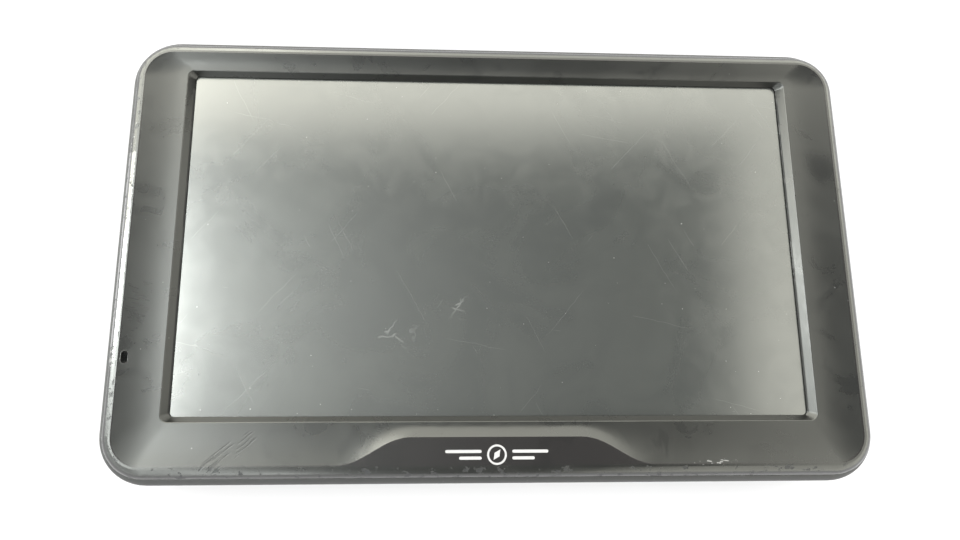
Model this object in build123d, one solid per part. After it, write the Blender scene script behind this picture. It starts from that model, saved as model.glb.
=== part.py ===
"""Portable GPS navigator with a seven-inch touch screen, lying on its back.

Frame: +X to the right of the screen, +Y to the top of the screen, +Z out of the screen.
The origin is the centre of the case's outline, on the plane that the back rests on.
All sizes are in millimetres.
"""

import os
from math import cos, pi, radians, sin

from build123d import *

# ---------------------------------------------------------------- case
case_length = 188.0
case_width = 112.5
case_thickness = 20.5
case_corner_radius = 12.0
side_wall = 2.8
back_wall = 2.0
back_edge_radius = 10.0
bulge_depth = 6.4            # from the rim's crest down to the widest line of the case
bulge_radius = 4.7           # rounding of the cover above its widest line
rim_height = 2.4             # from the bezel's lower edge up to the crest
rim_foot_inset = 2.0         # bezel's lower edge, in from the widest line
rim_crest_inset = 4.5        # outer side of the crest
crest_land = 0.5             # flat on top of the crest
seam_gap = 0.3
fit_gap = 0.15               # between moulded parts that slide into each other
sink = 0.02                  # how far a joined feature is pushed into its parent

# ---------------------------------------------------------------- bezel dish and screen opening
dish_depth = 1.25
opening_side = 15.3          # dish's inner edge, in from the widest line
opening_top = 9.45
opening_bottom = 14.8
opening_radius = 1.8
opening_edge_radius = 0.25
lip_thickness = 2.05
lip_draft_side = 1.3
lip_draft_top = 0.75
lip_draft_bottom = 1.1
plateau_rise = 6.4           # how far the emblem plateau reaches in from the crest
plateau_top_half = 20.0
plateau_foot_half = 38.0
plateau_sections = 6
skirt_thickness = 1.4
skirt_depth = 2.0

# ---------------------------------------------------------------- display stack, from the screen down
gasket_thickness = 0.3
film_thickness = 0.2
touch_glass_thickness = 1.1
tape_thickness = 0.3
cell_thickness = 1.2
optical_sheet_thickness = 0.2
light_guide_thickness = 1.6
back_plate_thickness = 0.4
panel_border_side = 4.1      # display panel beyond the visible window
panel_border_end = 5.2
panel_rim = 2.6              # width of the panel's moulded frame
chassis_thickness = 0.5
board_standoff = 1.3
board_thickness = 1.2

panel_flex_x = 35.0
panel_flex_width = 30.0
panel_flex_start = 10.0      # up from the panel's lower edge
touch_flex_x = 8.0
touch_flex_width = 7.0
flex_thickness = 0.12
panel_socket_half = 17.0
touch_socket_half = 5.0
lamp_count = 9
lamp_half_length = 1.9

# ---------------------------------------------------------------- fasteners
case_screw_inset = 7.3       # boss centres, in from the widest line
corner_boss_inset = 10.25
lower_boss_x = 40.0
boss_radius = 2.8
boss_joint_height = 6.0      # where the bezel's bosses meet the cover's
cover_boss_radius = 3.2
screw_head_radius = 2.0
screw_head_height = 1.3
screw_radius = 1.0
screw_clearance = 0.05
screw_length = 10.0
counterbore_depth = 3.6
peg_radius = 2.2
peg_inset = 8.6
peg_y = 19.0
small_screw_radius = 0.8
small_head_radius = 1.6
small_head_height = 0.9
board_screw_x = 66.0
board_screw_y = 30.0

# ---------------------------------------------------------------- rear mount receiver
receiver_length = 46.0
receiver_width = 58.0
receiver_centre_y = 8.0
receiver_recess = 0.8
receiver_radius = 6.0
receiver_flange = 3.0
slot_width = 5.0
slot_depth = 5.8
slot_undercut = 1.5
slot_roof = 1.0
slot_side_wall = 1.5
slot_lip = 1.8
tab_slot_length = 24.0
tab_slot_offset = 20.0       # from the receiver's centre
latch_slot_length = 14.0
latch_slot_offset = -21.0

# ---------------------------------------------------------------- speaker and its grille
speaker_x = 50.0
speaker_y = -12.0
speaker_radius = 16.0
speaker_height = 5.6
cone_radius = 11.5
cone_wall = 0.35
coil_radius = 5.8
coil_wall = 0.5
cone_travel = 0.4
cone_clearance = 0.15        # beyond the cone's travel, both ways
surround_width = 1.9
yoke_radius = 9.5
grille_radius = 14.4
grille_thickness = 1.0
grille_recess = 0.3
grille_ledge = 1.6
grille_hole_radius = 0.6
grille_pitch = 2.2
mesh_thickness = 0.15
speaker_foam = 0.5

# ---------------------------------------------------------------- power key and its switch
key_x = 58.0
key_length = 16.0
key_height = 3.6
key_drop = 1.5               # key's upper edge, below the widest line
key_flange = 1.0
key_flange_thickness = 1.0
key_travel = 0.4
key_nub_length = 3.0
switch_length = 6.0
switch_width = 3.6
switch_height = 3.0
plunger_length = 2.6
plunger_height = 1.5

# ---------------------------------------------------------------- ports
usb_x = 14.0
usb_length = 7.7
usb_height = 3.9
usb_depth = 9.2
usb_wall = 0.4
card_x = 60.0
card_socket_length = 14.5
card_socket_depth = 15.0
card_socket_height = 1.9
card_socket_wall = 0.25
card_slot_length = 11.4
card_slot_height = 1.1
slider_length = 1.6
slider_depth = 5.0
slider_travel = 1.2
port_gap = 0.5

# ---------------------------------------------------------------- microphone
mic_inset = 6.4
mic_y = -26.4
mic_port_length = 2.9
mic_port_width = 1.5
mic_radius = 2.0
mic_height = 1.4
mic_boot_wall = 0.7
mic_boot_gap = 0.05

# ---------------------------------------------------------------- board, battery and antenna
board_half = 76.0
board_top_inset = 6.45       # board's upper edge, in from the widest line
board_bottom_inset = 3.85
battery_length = 60.0
battery_width = 40.0
battery_thickness = 5.6
battery_bottom_inset = 12.5
battery_gap = 4.0            # between the battery and the board's cut-out
battery_pad_thickness = 0.3
antenna_side = 25.0
antenna_height = 4.0
antenna_x = -42.0
antenna_plating_thickness = 0.08
shield_length = 46.0
shield_width = 24.0
shield_offset = 24.0         # shield's middle, right of the board's battery cut-out
battery_socket_x = 14.0
capacitor_height = 2.8
capacitors = [               # x, y and radius of each can
    (42, 18, 2.0),
    (48, 18, 2.0),
    (42, 25, 2.5),
    (-22, 44, 1.6),
    (26, -42, 2.0),
    (26, -35, 2.0),
]
coil_side = 5.0
coil_height = 2.2
coils = [(50, 32), (58, 32), (-66, 24), (4, -32)]
wire_radius = 0.45

# ---------------------------------------------------------------- emblem and label
emblem_ring_radius = 2.3
emblem_line = 0.45
emblem_bar_length = 8.5
emblem_bar_gap = 1.3
emblem_thickness = 0.08
label_length = 58.0
label_width = 24.0
label_x = -54.0
label_y = -20.0
label_thickness = 0.15
label_recess = 0.25

# ---------------------------------------------------------------- places worked out from the sizes
half_length = case_length / 2
half_width = case_width / 2
rim_foot_z = case_thickness - rim_height
cover_top_z = rim_foot_z - seam_gap
bulge_z = case_thickness - bulge_depth
opening_z = case_thickness - dish_depth
lip_bottom_z = opening_z - lip_thickness
opening_half = half_length - opening_side
opening_high_y = half_width - opening_top
opening_low_y = -(half_width - opening_bottom)
window_half = opening_half - lip_draft_side
window_high_y = opening_high_y - lip_draft_top
window_low_y = opening_low_y + lip_draft_bottom
window_centre_y = (window_high_y + window_low_y) / 2
window_width = window_high_y - window_low_y
crest_inset = rim_crest_inset + crest_land
crest_low_y = -(half_width - crest_inset)

panel_length = 2 * (window_half + panel_border_side)
panel_width = window_width + 2 * panel_border_end
panel_low_y = window_centre_y - panel_width / 2
panel_flex_y = panel_low_y + panel_flex_start
film_top_z = lip_bottom_z - gasket_thickness
glass_top_z = film_top_z - film_thickness
tape_top_z = glass_top_z - touch_glass_thickness
panel_top_z = tape_top_z - tape_thickness
cell_bottom_z = panel_top_z - cell_thickness
sheet_bottom_z = cell_bottom_z - optical_sheet_thickness
guide_bottom_z = sheet_bottom_z - light_guide_thickness
panel_bottom_z = guide_bottom_z - back_plate_thickness
chassis_bottom_z = panel_bottom_z - chassis_thickness
board_top_z = chassis_bottom_z - board_standoff
board_bottom_z = board_top_z - board_thickness
board_high_y = half_width - board_top_inset
board_low_y = -(half_width - board_bottom_inset)

skirt_outer_inset = side_wall + fit_gap
skirt_inner_inset = skirt_outer_inset + skirt_thickness
skirt_bottom_z = lip_bottom_z - skirt_depth
battery_x = -board_half + battery_length / 2
battery_y = -half_width + battery_bottom_inset + battery_width / 2
battery_top_z = chassis_bottom_z - battery_pad_thickness
battery_bottom_z = battery_top_z - battery_thickness
cutout_right_x = battery_x + battery_length / 2 + battery_gap
cutout_high_y = battery_y + battery_width / 2 + battery_gap
key_z = bulge_z - key_drop - key_height
usb_top_z = board_bottom_z
usb_front_y = -(half_width - side_wall + 1.0)
shield_x = cutout_right_x + shield_offset
shield_y = receiver_centre_y + 2.5
battery_socket_y = shield_y - shield_width / 2 - 4.5
antenna_y = board_high_y - 3 - antenna_side / 2
receiver_y = antenna_y - antenna_side / 2 - 10
card_front_y = -(half_width - side_wall - 0.6)
mic_x = -(half_length - mic_inset)
slot_top_z = receiver_recess + slot_depth

case_screw_places = [
    (sx * (half_length - case_screw_inset), sy * (half_width - corner_boss_inset))
    for sx in (-1, 1)
    for sy in (-1, 1)
] + [(sx * lower_boss_x, -(half_width - case_screw_inset)) for sx in (-1, 1)]
peg_places = [(sx * (half_length - peg_inset), sy * peg_y) for sx in (-1, 1) for sy in (-1, 1)]
board_screw_places = [
    (-board_screw_x, board_screw_y + 8),
    (board_screw_x, board_screw_y),
    (-board_screw_x, 8),
    (board_screw_x + 4, -board_screw_y),
]


# ---------------------------------------------------------------- small tools
def slab(x_range, y_range, z_range):
    """A box between two corners."""
    (x0, x1), (y0, y1), (z0, z1) = x_range, y_range, z_range
    return Pos((x0 + x1) / 2, (y0 + y1) / 2, (z0 + z1) / 2) * Box(x1 - x0, y1 - y0, z1 - z0)


def tile(length, width, z_low, z_high, centre=(0, 0), radius=0.0):
    """A plate of that outline between two heights, with rounded corners if a radius is given."""
    outline = RectangleRounded(length, width, radius) if radius else Rectangle(length, width)
    return Pos(centre[0], centre[1], z_low) * extrude(outline, z_high - z_low)


def rod(radius, z_low, z_high, centre=(0, 0)):
    """A cylinder along Z."""
    return Pos(centre[0], centre[1], (z_low + z_high) / 2) * Cylinder(radius, z_high - z_low)


def tube(outer, inner, z_low, z_high, centre=(0, 0)):
    """A ring along Z."""
    return rod(outer, z_low, z_high, centre) - rod(inner, z_low - 1, z_high + 1, centre)


def inset_tile(inset, z_low, z_high):
    """The case's outline moved in by an inset, between two heights."""
    radius = max(case_corner_radius - inset, 1.0)
    return tile(case_length - 2 * inset, case_width - 2 * inset, z_low, z_high, radius=radius)


def frame_tile(length, width, rim, z_low, z_high, centre=(0, 0), radius=1.0):
    """A flat rectangular frame."""
    hole = tile(length - 2 * rim, width - 2 * rim, z_low - 1, z_high + 1, centre)
    return tile(length, width, z_low, z_high, centre, radius) - hole


def turned(points, centre=(0, 0)):
    """A solid of revolution about a Z axis, from (radius, height) points."""
    profile = make_face(Polyline(*[(r, 0, z) for r, z in points], close=True))
    return Pos(centre[0], centre[1], 0) * revolve(profile, Axis.Z)


def ribbon(points, width, thickness, x):
    """A flat flexible cable of constant thickness along (y, z) points, centred on x."""
    path = Polyline(*[(x, y, z) for y, z in points])
    start = Plane(origin=path @ 0, x_dir=(1, 0, 0), z_dir=path % 0)
    return sweep(start * Rectangle(width, thickness), path=path, transition=Transition.RIGHT)


def wire(points, radius):
    """A round wire along straight runs joined by tangent arcs, as large as the runs allow."""
    places = [Vector(*p) for p in points]
    bends = [b for a, b, c in zip(places, places[1:], places[2:]) if (b - a).get_angle(c - b) > 1]
    places = [places[0], *bends, places[-1]]
    runs = [(b - a).length for a, b in zip(places, places[1:])]
    radii = []
    for i in range(1, len(places) - 1):
        turn = (places[i] - places[i - 1]).get_angle(places[i + 1] - places[i])
        half_turn = radians(turn) / 2
        radii.append(0.45 * min(runs[i - 1], runs[i]) * cos(half_turn) / sin(half_turn))
    path = FilletPolyline(*places, radius=radii)
    start = Plane(origin=path @ 0, z_dir=path % 0)
    return sweep(start * Circle(radius), path=path)


def group(shapes):
    """Several separate solids in one node."""
    return Compound(children=[s for shape in shapes for s in shape.solids()])


# ---------------------------------------------------------------- case parts
def cover_envelope():
    """The outside of the rear cover, before its top is cut off at the seam."""
    block = inset_tile(0, 0, bulge_z + bulge_radius)
    block = fillet(block.edges().group_by(Axis.Z)[-1], bulge_radius)
    return fillet(block.edges().group_by(Axis.Z)[0], back_edge_radius)


def cover_cavity():
    """The space inside the rear cover."""
    space = inset_tile(side_wall, back_wall, case_thickness)
    return fillet(space.edges().group_by(Axis.Z)[0], back_edge_radius - side_wall)


def key_outline(grow, y_low, y_high):
    """The power key's section, grown on every side, between two depths."""
    section = SlotOverall(key_length + 2 * grow, key_height + 2 * grow)
    solid = extrude(Plane.XZ * section, -(y_high - y_low))
    return Pos(key_x, y_low, key_z) * solid


def snap_hooks(length, height, reach, z_low):
    """Blocks along the upper side that hold the bezel in the cover."""
    outer_y = half_width - side_wall + reach
    inner_y = half_width - skirt_outer_inset - sink
    return [
        slab((x - length / 2, x + length / 2), (inner_y, outer_y), (z_low, z_low + height))
        for x in (-half_length / 2, 0.0, half_length / 4)
    ]


def rear_cover():
    """The rear shell, with its screw bosses, windows and port openings."""
    envelope = cover_envelope()
    shell = envelope - cover_cavity()
    across, along = (-case_length, case_length), (-case_width, case_width)
    shell -= slab(across, along, (cover_top_z, 2 * case_thickness))
    for place in case_screw_places:
        shell += rod(cover_boss_radius, back_wall - sink, boss_joint_height, place) & envelope
        shell -= rod(screw_head_radius + 0.3, -1, counterbore_depth, place)
        shell -= rod(screw_radius + 0.2, 0, boss_joint_height + 1, place)
    centre = (0, receiver_centre_y)
    window = (receiver_length + 2 * fit_gap, receiver_width + 2 * fit_gap)
    shell -= tile(*window, -1, back_wall + 1, centre, receiver_radius + fit_gap)
    speaker = (speaker_x, speaker_y)
    shell -= rod(grille_radius + fit_gap, -1, back_wall + 1, speaker)
    ledge_z = grille_recess + grille_thickness
    shell -= rod(grille_radius + grille_ledge + fit_gap, ledge_z, back_wall + sink, speaker)
    shell -= tile(label_length + 0.4, label_width + 0.4, -1, label_recess, (label_x, label_y), 2.0)
    shell -= key_outline(fit_gap, half_width - 2 * side_wall, half_width + 1)
    usb_z = usb_top_z - usb_height / 2
    usb_hole = tile(usb_length + 2 * port_gap, usb_height + 2 * port_gap, 0, 3 * side_wall, radius=1.0)
    shell -= Pos(usb_x, -half_width - side_wall, usb_z) * Rot(-90, 0, 0) * usb_hole
    card_z = board_bottom_z - card_socket_height / 2
    card_hole = tile(card_slot_length + 1.0, card_slot_height + 0.8, 0, 3 * side_wall, radius=0.7)
    shell -= Pos(card_x, -half_width - side_wall, card_z) * Rot(-90, 0, 0) * card_hole
    scoop = Pos(card_x, -half_width - 4.3, card_z) * Cylinder(5.6, 9.0, rotation=(0, 90, 0))
    shell -= scoop
    hook_z = skirt_bottom_z + 0.4
    for recess in snap_hooks(8.6, 1.5, 0.75, hook_z - 0.3):
        shell -= recess
    return shell


def dish_outline(share):
    """The dish's outline at a share of the way from the crest (0) to the screen opening (1)."""
    keep = 1 - share
    half_x = keep * (half_length - crest_inset) + share * opening_half
    high_y = keep * (half_width - crest_inset) + share * opening_high_y
    low_y = keep * crest_low_y + share * opening_low_y
    radius = keep * (case_corner_radius - crest_inset) + share * opening_radius
    rise = keep * plateau_rise
    depth = dish_depth * (1 - keep * keep)
    z = case_thickness - depth
    foot, top = plateau_foot_half, plateau_top_half
    bend = (foot - top) * 0.4

    def corner(cx, cy, start):
        return CenterArc((cx, cy, z), radius, start, -90)

    def line(x0, y0, x1, y1):
        return Line((x0, y0, z), (x1, y1, z))

    left_rise = Bezier(
        (-foot, low_y, z),
        (-foot + bend, low_y, z),
        (-top - bend, low_y + rise, z),
        (-top, low_y + rise, z),
    )
    right_fall = Bezier(
        (top, low_y + rise, z),
        (top + bend, low_y + rise, z),
        (foot - bend, low_y, z),
        (foot, low_y, z),
    )
    edges = [
        line(-half_x + radius, low_y, -foot, low_y),
        left_rise,
        line(-top, low_y + rise, top, low_y + rise),
        right_fall,
        line(foot, low_y, half_x - radius, low_y),
        CenterArc((half_x - radius, low_y + radius, z), radius, -90, 90),
        line(half_x, low_y + radius, half_x, high_y - radius),
        CenterArc((half_x - radius, high_y - radius, z), radius, 0, 90),
        line(half_x - radius, high_y, -half_x + radius, high_y),
        CenterArc((-half_x + radius, high_y - radius, z), radius, 90, 90),
        line(-half_x, high_y - radius, -half_x, low_y + radius),
        CenterArc((-half_x + radius, low_y + radius, z), radius, 180, 90),
    ]
    return make_face(Wire(edges))


def dish():
    """The hollow between the rim's crest and the screen opening."""
    shares = [i / (plateau_sections - 1) for i in range(plateau_sections)]
    return loft([dish_outline(share) for share in shares])


def window_rectangle(half_x, low_y, high_y, radius, z):
    """A rounded rectangle between those edges, at a height."""
    outline = RectangleRounded(2 * half_x, high_y - low_y, radius)
    return Pos(0, (low_y + high_y) / 2, z) * outline


def screen_opening():
    """The drafted hole through the bezel's lip."""
    upper = window_rectangle(opening_half, opening_low_y, opening_high_y, opening_radius, opening_z + sink)
    lower = window_rectangle(window_half, window_low_y, window_high_y, 1.0, lip_bottom_z)
    centre = (0, window_centre_y)
    through = tile(2 * window_half, window_width, lip_bottom_z - 1, lip_bottom_z + sink, centre, 1.0)
    return loft([upper, lower], ruled=True) + through


def opening_edges(body):
    """The edges where the dish meets the screen opening."""
    edges = body.edges().filter_by_position(Axis.Z, opening_z - 3 * sink, opening_z + 3 * sink)
    reach = opening_half + opening_edge_radius
    return edges.filter_by_position(Axis.X, -reach, reach)


def rim_outline(inset, z):
    """The bezel's outside at a height."""
    radius = case_corner_radius - inset
    return Pos(0, 0, z) * RectangleRounded(case_length - 2 * inset, case_width - 2 * inset, radius)


def front_bezel():
    """The front frame: rim, dish, lip, skirt, screw bosses, chassis pegs and the microphone port."""
    middle_inset = rim_foot_inset + 0.36 * (rim_crest_inset - rim_foot_inset)
    body = loft(
        [
            rim_outline(rim_foot_inset, rim_foot_z),
            rim_outline(middle_inset, rim_foot_z + 0.6 * rim_height),
            rim_outline(rim_crest_inset, case_thickness),
        ]
    )
    body += inset_tile(skirt_outer_inset, lip_bottom_z, rim_foot_z + sink)
    skirt = inset_tile(skirt_outer_inset, skirt_bottom_z, lip_bottom_z + sink)
    body += skirt - inset_tile(skirt_inner_inset, skirt_bottom_z - 1, lip_bottom_z + 1)
    body -= dish()
    body -= screen_opening()
    body = fillet(opening_edges(body), opening_edge_radius)
    for place in case_screw_places:
        body += rod(boss_radius, boss_joint_height, lip_bottom_z + sink, place)
        body -= rod(screw_radius + screw_clearance, boss_joint_height - 1, lip_bottom_z - 1.5, place)
    for place in peg_places:
        body += rod(peg_radius, panel_bottom_z, lip_bottom_z + sink, place)
        body -= rod(small_screw_radius + screw_clearance, panel_bottom_z - 1, panel_bottom_z + 4, place)
    for hook in snap_hooks(8.0, 0.8, 0.45, skirt_bottom_z + 0.4):
        body += hook
    port = extrude(SlotOverall(mic_port_length, mic_port_width, rotation=90), case_thickness)
    return body - Pos(mic_x, mic_y, lip_bottom_z - 1) * port


def emblem():
    """A printed compass mark between two pairs of bars, on the plateau."""
    y = crest_low_y + plateau_rise / 2 - 0.8
    z = case_thickness
    top = z + emblem_thickness
    ring = tube(emblem_ring_radius, emblem_ring_radius - emblem_line, z, top, (0, y))
    needle_reach = emblem_ring_radius - 2 * emblem_line
    needle = extrude(make_face(Polyline(
        (0, needle_reach), (0.7, 0), (0, -needle_reach), (-0.7, 0), close=True
    )), emblem_thickness)
    marks = [ring, Pos(0, y, z) * Rot(0, 0, -35) * needle]
    for side in (-1, 1):
        start = emblem_ring_radius + emblem_bar_gap
        for row, share in ((0.75, 1.0), (-0.75, 0.62)):
            length = emblem_bar_length * share
            centre = (side * (start + length / 2), y + row)
            marks.append(tile(length, 0.7, z, top, centre, 0.34))
    return group(marks)


def mount_receiver():
    """The rear insert that a windscreen bracket hooks and latches into."""
    centre = (0, receiver_centre_y)
    radius = receiver_radius
    plate = tile(receiver_length, receiver_width, receiver_recess, back_wall + sink, centre, radius)
    length = receiver_length + 2 * receiver_flange
    width = receiver_width + 2 * receiver_flange
    plate += tile(length, width, back_wall, back_wall + 1.0, centre, radius)
    for length, offset, side in (
        (tab_slot_length, tab_slot_offset, 1),
        (latch_slot_length, latch_slot_offset, -1),
    ):
        y = receiver_centre_y + offset
        box_half = length / 2 + slot_side_wall
        near = y - side * (slot_width / 2 + slot_side_wall)
        far = y + side * (slot_width / 2 + slot_undercut + slot_side_wall)
        plate += slab((-box_half, box_half), sorted((near, far)), (back_wall, slot_top_z + slot_roof))
    for length, offset, side in (
        (tab_slot_length, tab_slot_offset, 1),
        (latch_slot_length, latch_slot_offset, -1),
    ):
        y = receiver_centre_y + offset
        plate -= tile(length, slot_width, -1, slot_top_z, (0, y), 0.8)
        undercut = sorted((y, y + side * (slot_width / 2 + slot_undercut)))
        plate -= slab((-length / 2, length / 2), undercut, (receiver_recess + slot_lip, slot_top_z))
    return plate


def speaker_grille():
    """The perforated disc over the loudspeaker."""
    top_z = back_wall
    disc = rod(grille_radius, grille_recess, top_z)
    disc += rod(grille_radius + grille_ledge, grille_recess + grille_thickness, top_z)
    disc -= rod(grille_radius - 1.5, grille_recess + grille_thickness, top_z + 1)
    rows = int(grille_radius / grille_pitch)
    holes = []
    for row in range(-rows, rows + 1):
        y = row * grille_pitch * sin(pi / 3)
        for column in range(-rows - 1, rows + 2):
            x = (column + (row % 2) / 2) * grille_pitch
            if (x * x + y * y) ** 0.5 < grille_radius - 2.4:
                holes.append(Pos(x, y, 0) * Circle(grille_hole_radius))
    perforation = extrude(Sketch() + holes, 2 * grille_thickness)
    return Pos(speaker_x, speaker_y, 0) * (disc - perforation)


def case_screws():
    """Six self-tapping screws that hold the cover to the bezel."""
    screws = []
    for place in case_screw_places:
        seat = counterbore_depth
        body = rod(screw_head_radius, seat - screw_head_height, seat, place)
        body += rod(screw_radius, seat - sink, seat + screw_length, place)
        socket = Pos(place[0], place[1], seat - screw_head_height) * extrude(RegularPolygon(0.9, 6), 0.8)
        screws.append(body - socket)
    return group(screws)


# ---------------------------------------------------------------- display parts
def screen_gasket():
    """Foam strip between the bezel's lip and the touch panel."""
    length = 2 * window_half + 2 * panel_border_side - 1.2
    width = window_width + 2 * panel_border_end - 1.2
    return frame_tile(length, width, 3.0, film_top_z, lip_bottom_z, (0, window_centre_y))


def touch_film():
    """The matt flexible upper layer of the resistive touch panel."""
    centre = (0, window_centre_y)
    return tile(panel_length - 1.2, panel_width - 1.2, glass_top_z, film_top_z, centre, 0.8)


def touch_glass():
    """The rigid lower layer of the touch panel."""
    centre = (0, window_centre_y)
    return tile(panel_length - 1.0, panel_width - 1.0, tape_top_z, glass_top_z, centre, 0.8)


def touch_tape():
    """Double-sided foam tape between the touch panel and the display."""
    centre = (0, window_centre_y)
    return frame_tile(panel_length - 1.0, panel_width - 1.0, 2.0, panel_top_z, tape_top_z, centre)


def panel_frame():
    """The moulded frame around the display's layers."""
    centre = (0, window_centre_y)
    frame = frame_tile(panel_length, panel_width, panel_rim, guide_bottom_z, panel_top_z, centre)
    return frame


def panel_layer(z_low, z_high):
    """One flat layer inside the panel's frame."""
    clear = 2 * (panel_rim + fit_gap)
    return tile(panel_length - clear, panel_width - clear, z_low, z_high, (0, window_centre_y), 0.5)


def light_guide():
    """The backlight's acrylic plate, cut short along its lower edge for the lamp strip."""
    depth = (guide_bottom_z - 1, sheet_bottom_z + 1)
    strip = slab((-half_length, half_length), (-half_width, lamp_edge_y() + 1.6), depth)
    return panel_layer(guide_bottom_z, sheet_bottom_z) - strip


def lamp_edge_y():
    """Lower edge of the space inside the panel's frame."""
    return panel_low_y + panel_rim + fit_gap


def lamp_strip():
    """The lamps along the light guide's lower edge, on their flexible strip."""
    low = lamp_edge_y()
    reach = panel_length / 2 - panel_rim - 4
    edge = low - fit_gap
    strip = slab((-reach, reach), (edge, edge + 0.2), (guide_bottom_z + 0.05, sheet_bottom_z - 0.05))
    depth = (guide_bottom_z + 0.3, sheet_bottom_z - 0.3)
    lamps = []
    for i in range(lamp_count):
        x = -reach + (i + 0.5) * 2 * reach / lamp_count
        lamps.append(slab((x - lamp_half_length, x + lamp_half_length), (edge + 0.2, low + 1.4), depth))
    return group([strip, *lamps])


def back_plate():
    """The display's steel rear plate."""
    return tile(panel_length, panel_width, panel_bottom_z, guide_bottom_z, (0, window_centre_y), 1.0)


def chassis():
    """The stamped plate that carries the board and battery, with ears for the bezel's pegs."""
    half_x = panel_length / 2 - 2
    low_y = panel_low_y + 2
    high_y = window_centre_y + panel_width / 2 - 2
    plate = slab((-half_x, half_x), (low_y, high_y), (chassis_bottom_z, panel_bottom_z))
    for x, y in peg_places:
        side = 1 if x > 0 else -1
        reach = sorted((side * (half_x - 1), x + side * 3.0))
        plate += slab(reach, (y - 4, y + 4), (chassis_bottom_z, panel_bottom_z))
        plate -= rod(small_screw_radius + 0.2, chassis_bottom_z - 1, panel_bottom_z + 1, (x, y))
    for side in (-1, 1):
        edge = sorted((side * half_x, side * (half_x - chassis_thickness)))
        plate += slab(edge, (low_y + 6, high_y - 6), (chassis_bottom_z - 3.0, chassis_bottom_z + sink))
    for x, y in board_screw_places:
        plate += rod(2.0, board_top_z, chassis_bottom_z + sink, (x, y))
        plate -= rod(small_screw_radius + screw_clearance, board_top_z - 1, panel_bottom_z + 1, (x, y))
    flex_slot = slab(
        (panel_flex_x - panel_socket_half, panel_flex_x + panel_socket_half),
        (panel_flex_y - 2, panel_flex_y + 6),
        (chassis_bottom_z - 1, panel_bottom_z + 1),
    )
    return plate - flex_slot


def panel_flex():
    """The display's flat cable, from its rear plate to the board."""
    lower_z = board_top_z + 0.5
    upper_z = panel_bottom_z - 0.06
    points = [
        (panel_flex_y, upper_z),
        (panel_flex_y + 2.0, upper_z),
        (panel_flex_y + 4.0, lower_z),
        (panel_flex_y + 7.0, lower_z),
    ]
    return ribbon(points, panel_flex_width, flex_thickness, panel_flex_x)


def touch_flex():
    """The touch panel's four-lane tail, folded round the display's lower edge."""
    start_y = panel_low_y + 0.5
    out_y = panel_low_y - 0.6
    upper_z = tape_top_z + 0.5
    lower_z = board_top_z + 0.5
    points = [(start_y, upper_z), (out_y, upper_z), (out_y, lower_z), (start_y + 5.5, lower_z)]
    return ribbon(points, touch_flex_width, flex_thickness, touch_flex_x)


def flat_cable_sockets():
    """The two flat-cable sockets on the board's front."""
    low, high = board_top_z, board_top_z + 1.0
    throat = (board_top_z + 0.35, board_top_z + 0.65)
    panel_y = panel_flex_y + 7.0
    touch_y = panel_low_y + 6.0
    sockets = []
    for x, y, half, mouth in (
        (panel_flex_x, panel_y, panel_socket_half, panel_flex_width / 2 + 0.2),
        (touch_flex_x, touch_y, touch_socket_half, touch_flex_width / 2 + 0.2),
    ):
        socket = slab((x - half, x + half), (y - 1.5, y + 3), (low, high))
        sockets.append(socket - slab((x - mouth, x + mouth), (y - 3, y + 0.1), throat))
    return group(sockets)


def chassis_screws():
    """Four small screws that hold the chassis to the bezel's pegs."""
    return group([small_screw(place, chassis_bottom_z, 3.0) for place in peg_places])


def small_screw(place, seat_z, length):
    """A small pan-head screw driven in from behind, its head under seat_z."""
    body = rod(small_head_radius, seat_z - small_head_height, seat_z, place)
    body += rod(small_screw_radius, seat_z - sink, seat_z + length, place)
    recess = Pos(place[0], place[1], seat_z - small_head_height)
    for turn in (0, 90):
        body -= recess * Rot(0, 0, turn) * Box(1.8, 0.45, 0.8)
    return body


# ---------------------------------------------------------------- board and what is on it
def main_board():
    """The circuit board, cut out beside the battery and round the screw bosses."""
    board = slab((-board_half, board_half), (board_low_y, board_high_y), (board_bottom_z, board_top_z))
    below, above = board_bottom_z - 1, board_top_z + 1
    board -= slab((-case_length, cutout_right_x), (-case_width, cutout_high_y), (below, above))
    for x, y in case_screw_places:
        board -= rod(boss_radius + 0.8, below, above, (x, y))
        if abs(x) < board_half:
            reach = boss_radius + 0.8
            board -= slab((x - reach, x + reach), (-half_width, y), (below, above))
    board -= slab((key_x - 12, key_x + 12), (switch_edge_y() + 0.2, half_width), (below, above))
    for place in board_screw_places:
        board -= rod(small_screw_radius + 0.15, below, above, place)
    return board


def board_screws():
    """Four small screws that hold the board to the chassis."""
    return group([small_screw(place, board_bottom_z, 2.6) for place in board_screw_places])


def chip(length, width, height, centre):
    """A flat package on the board's rear face."""
    return tile(length, width, board_bottom_z - height, board_bottom_z, centre)


def processor():
    """The main processor."""
    return chip(14, 14, 1.2, (shield_x - 12, shield_y))


def memory_chips():
    """Two working-memory chips and the map memory beside them."""
    working = [chip(10, 7.5, 1.0, (shield_x + 2, shield_y + row)) for row in (-5.5, 5.5)]
    return group([*working, chip(10, 14, 1.0, (shield_x + 15, shield_y))])


def shield_can(length, width, height, centre, wall=0.2):
    """A folded steel lid over a group of chips, open on the board's side."""
    low = board_bottom_z - height
    lid = tile(length, width, low, board_bottom_z, centre, 0.8)
    lid -= tile(length - 2 * wall, width - 2 * wall, low + wall, board_bottom_z + 1, centre, 0.6)
    for i in range(-2, 3):
        lid -= rod(0.6, low - 1, low + 1, (centre[0] + i * length / 6, centre[1]))
    return lid


def processor_shield():
    """The can over the processor and its memory."""
    return shield_can(shield_length, shield_width, 1.8, (shield_x, shield_y))


def receiver_shield():
    """The can over the satellite receiver."""
    return shield_can(24, 16, 2.2, (antenna_x, receiver_y))


def receiver_chip():
    """The satellite receiver."""
    return chip(9, 9, 0.9, (antenna_x, receiver_y))


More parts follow.
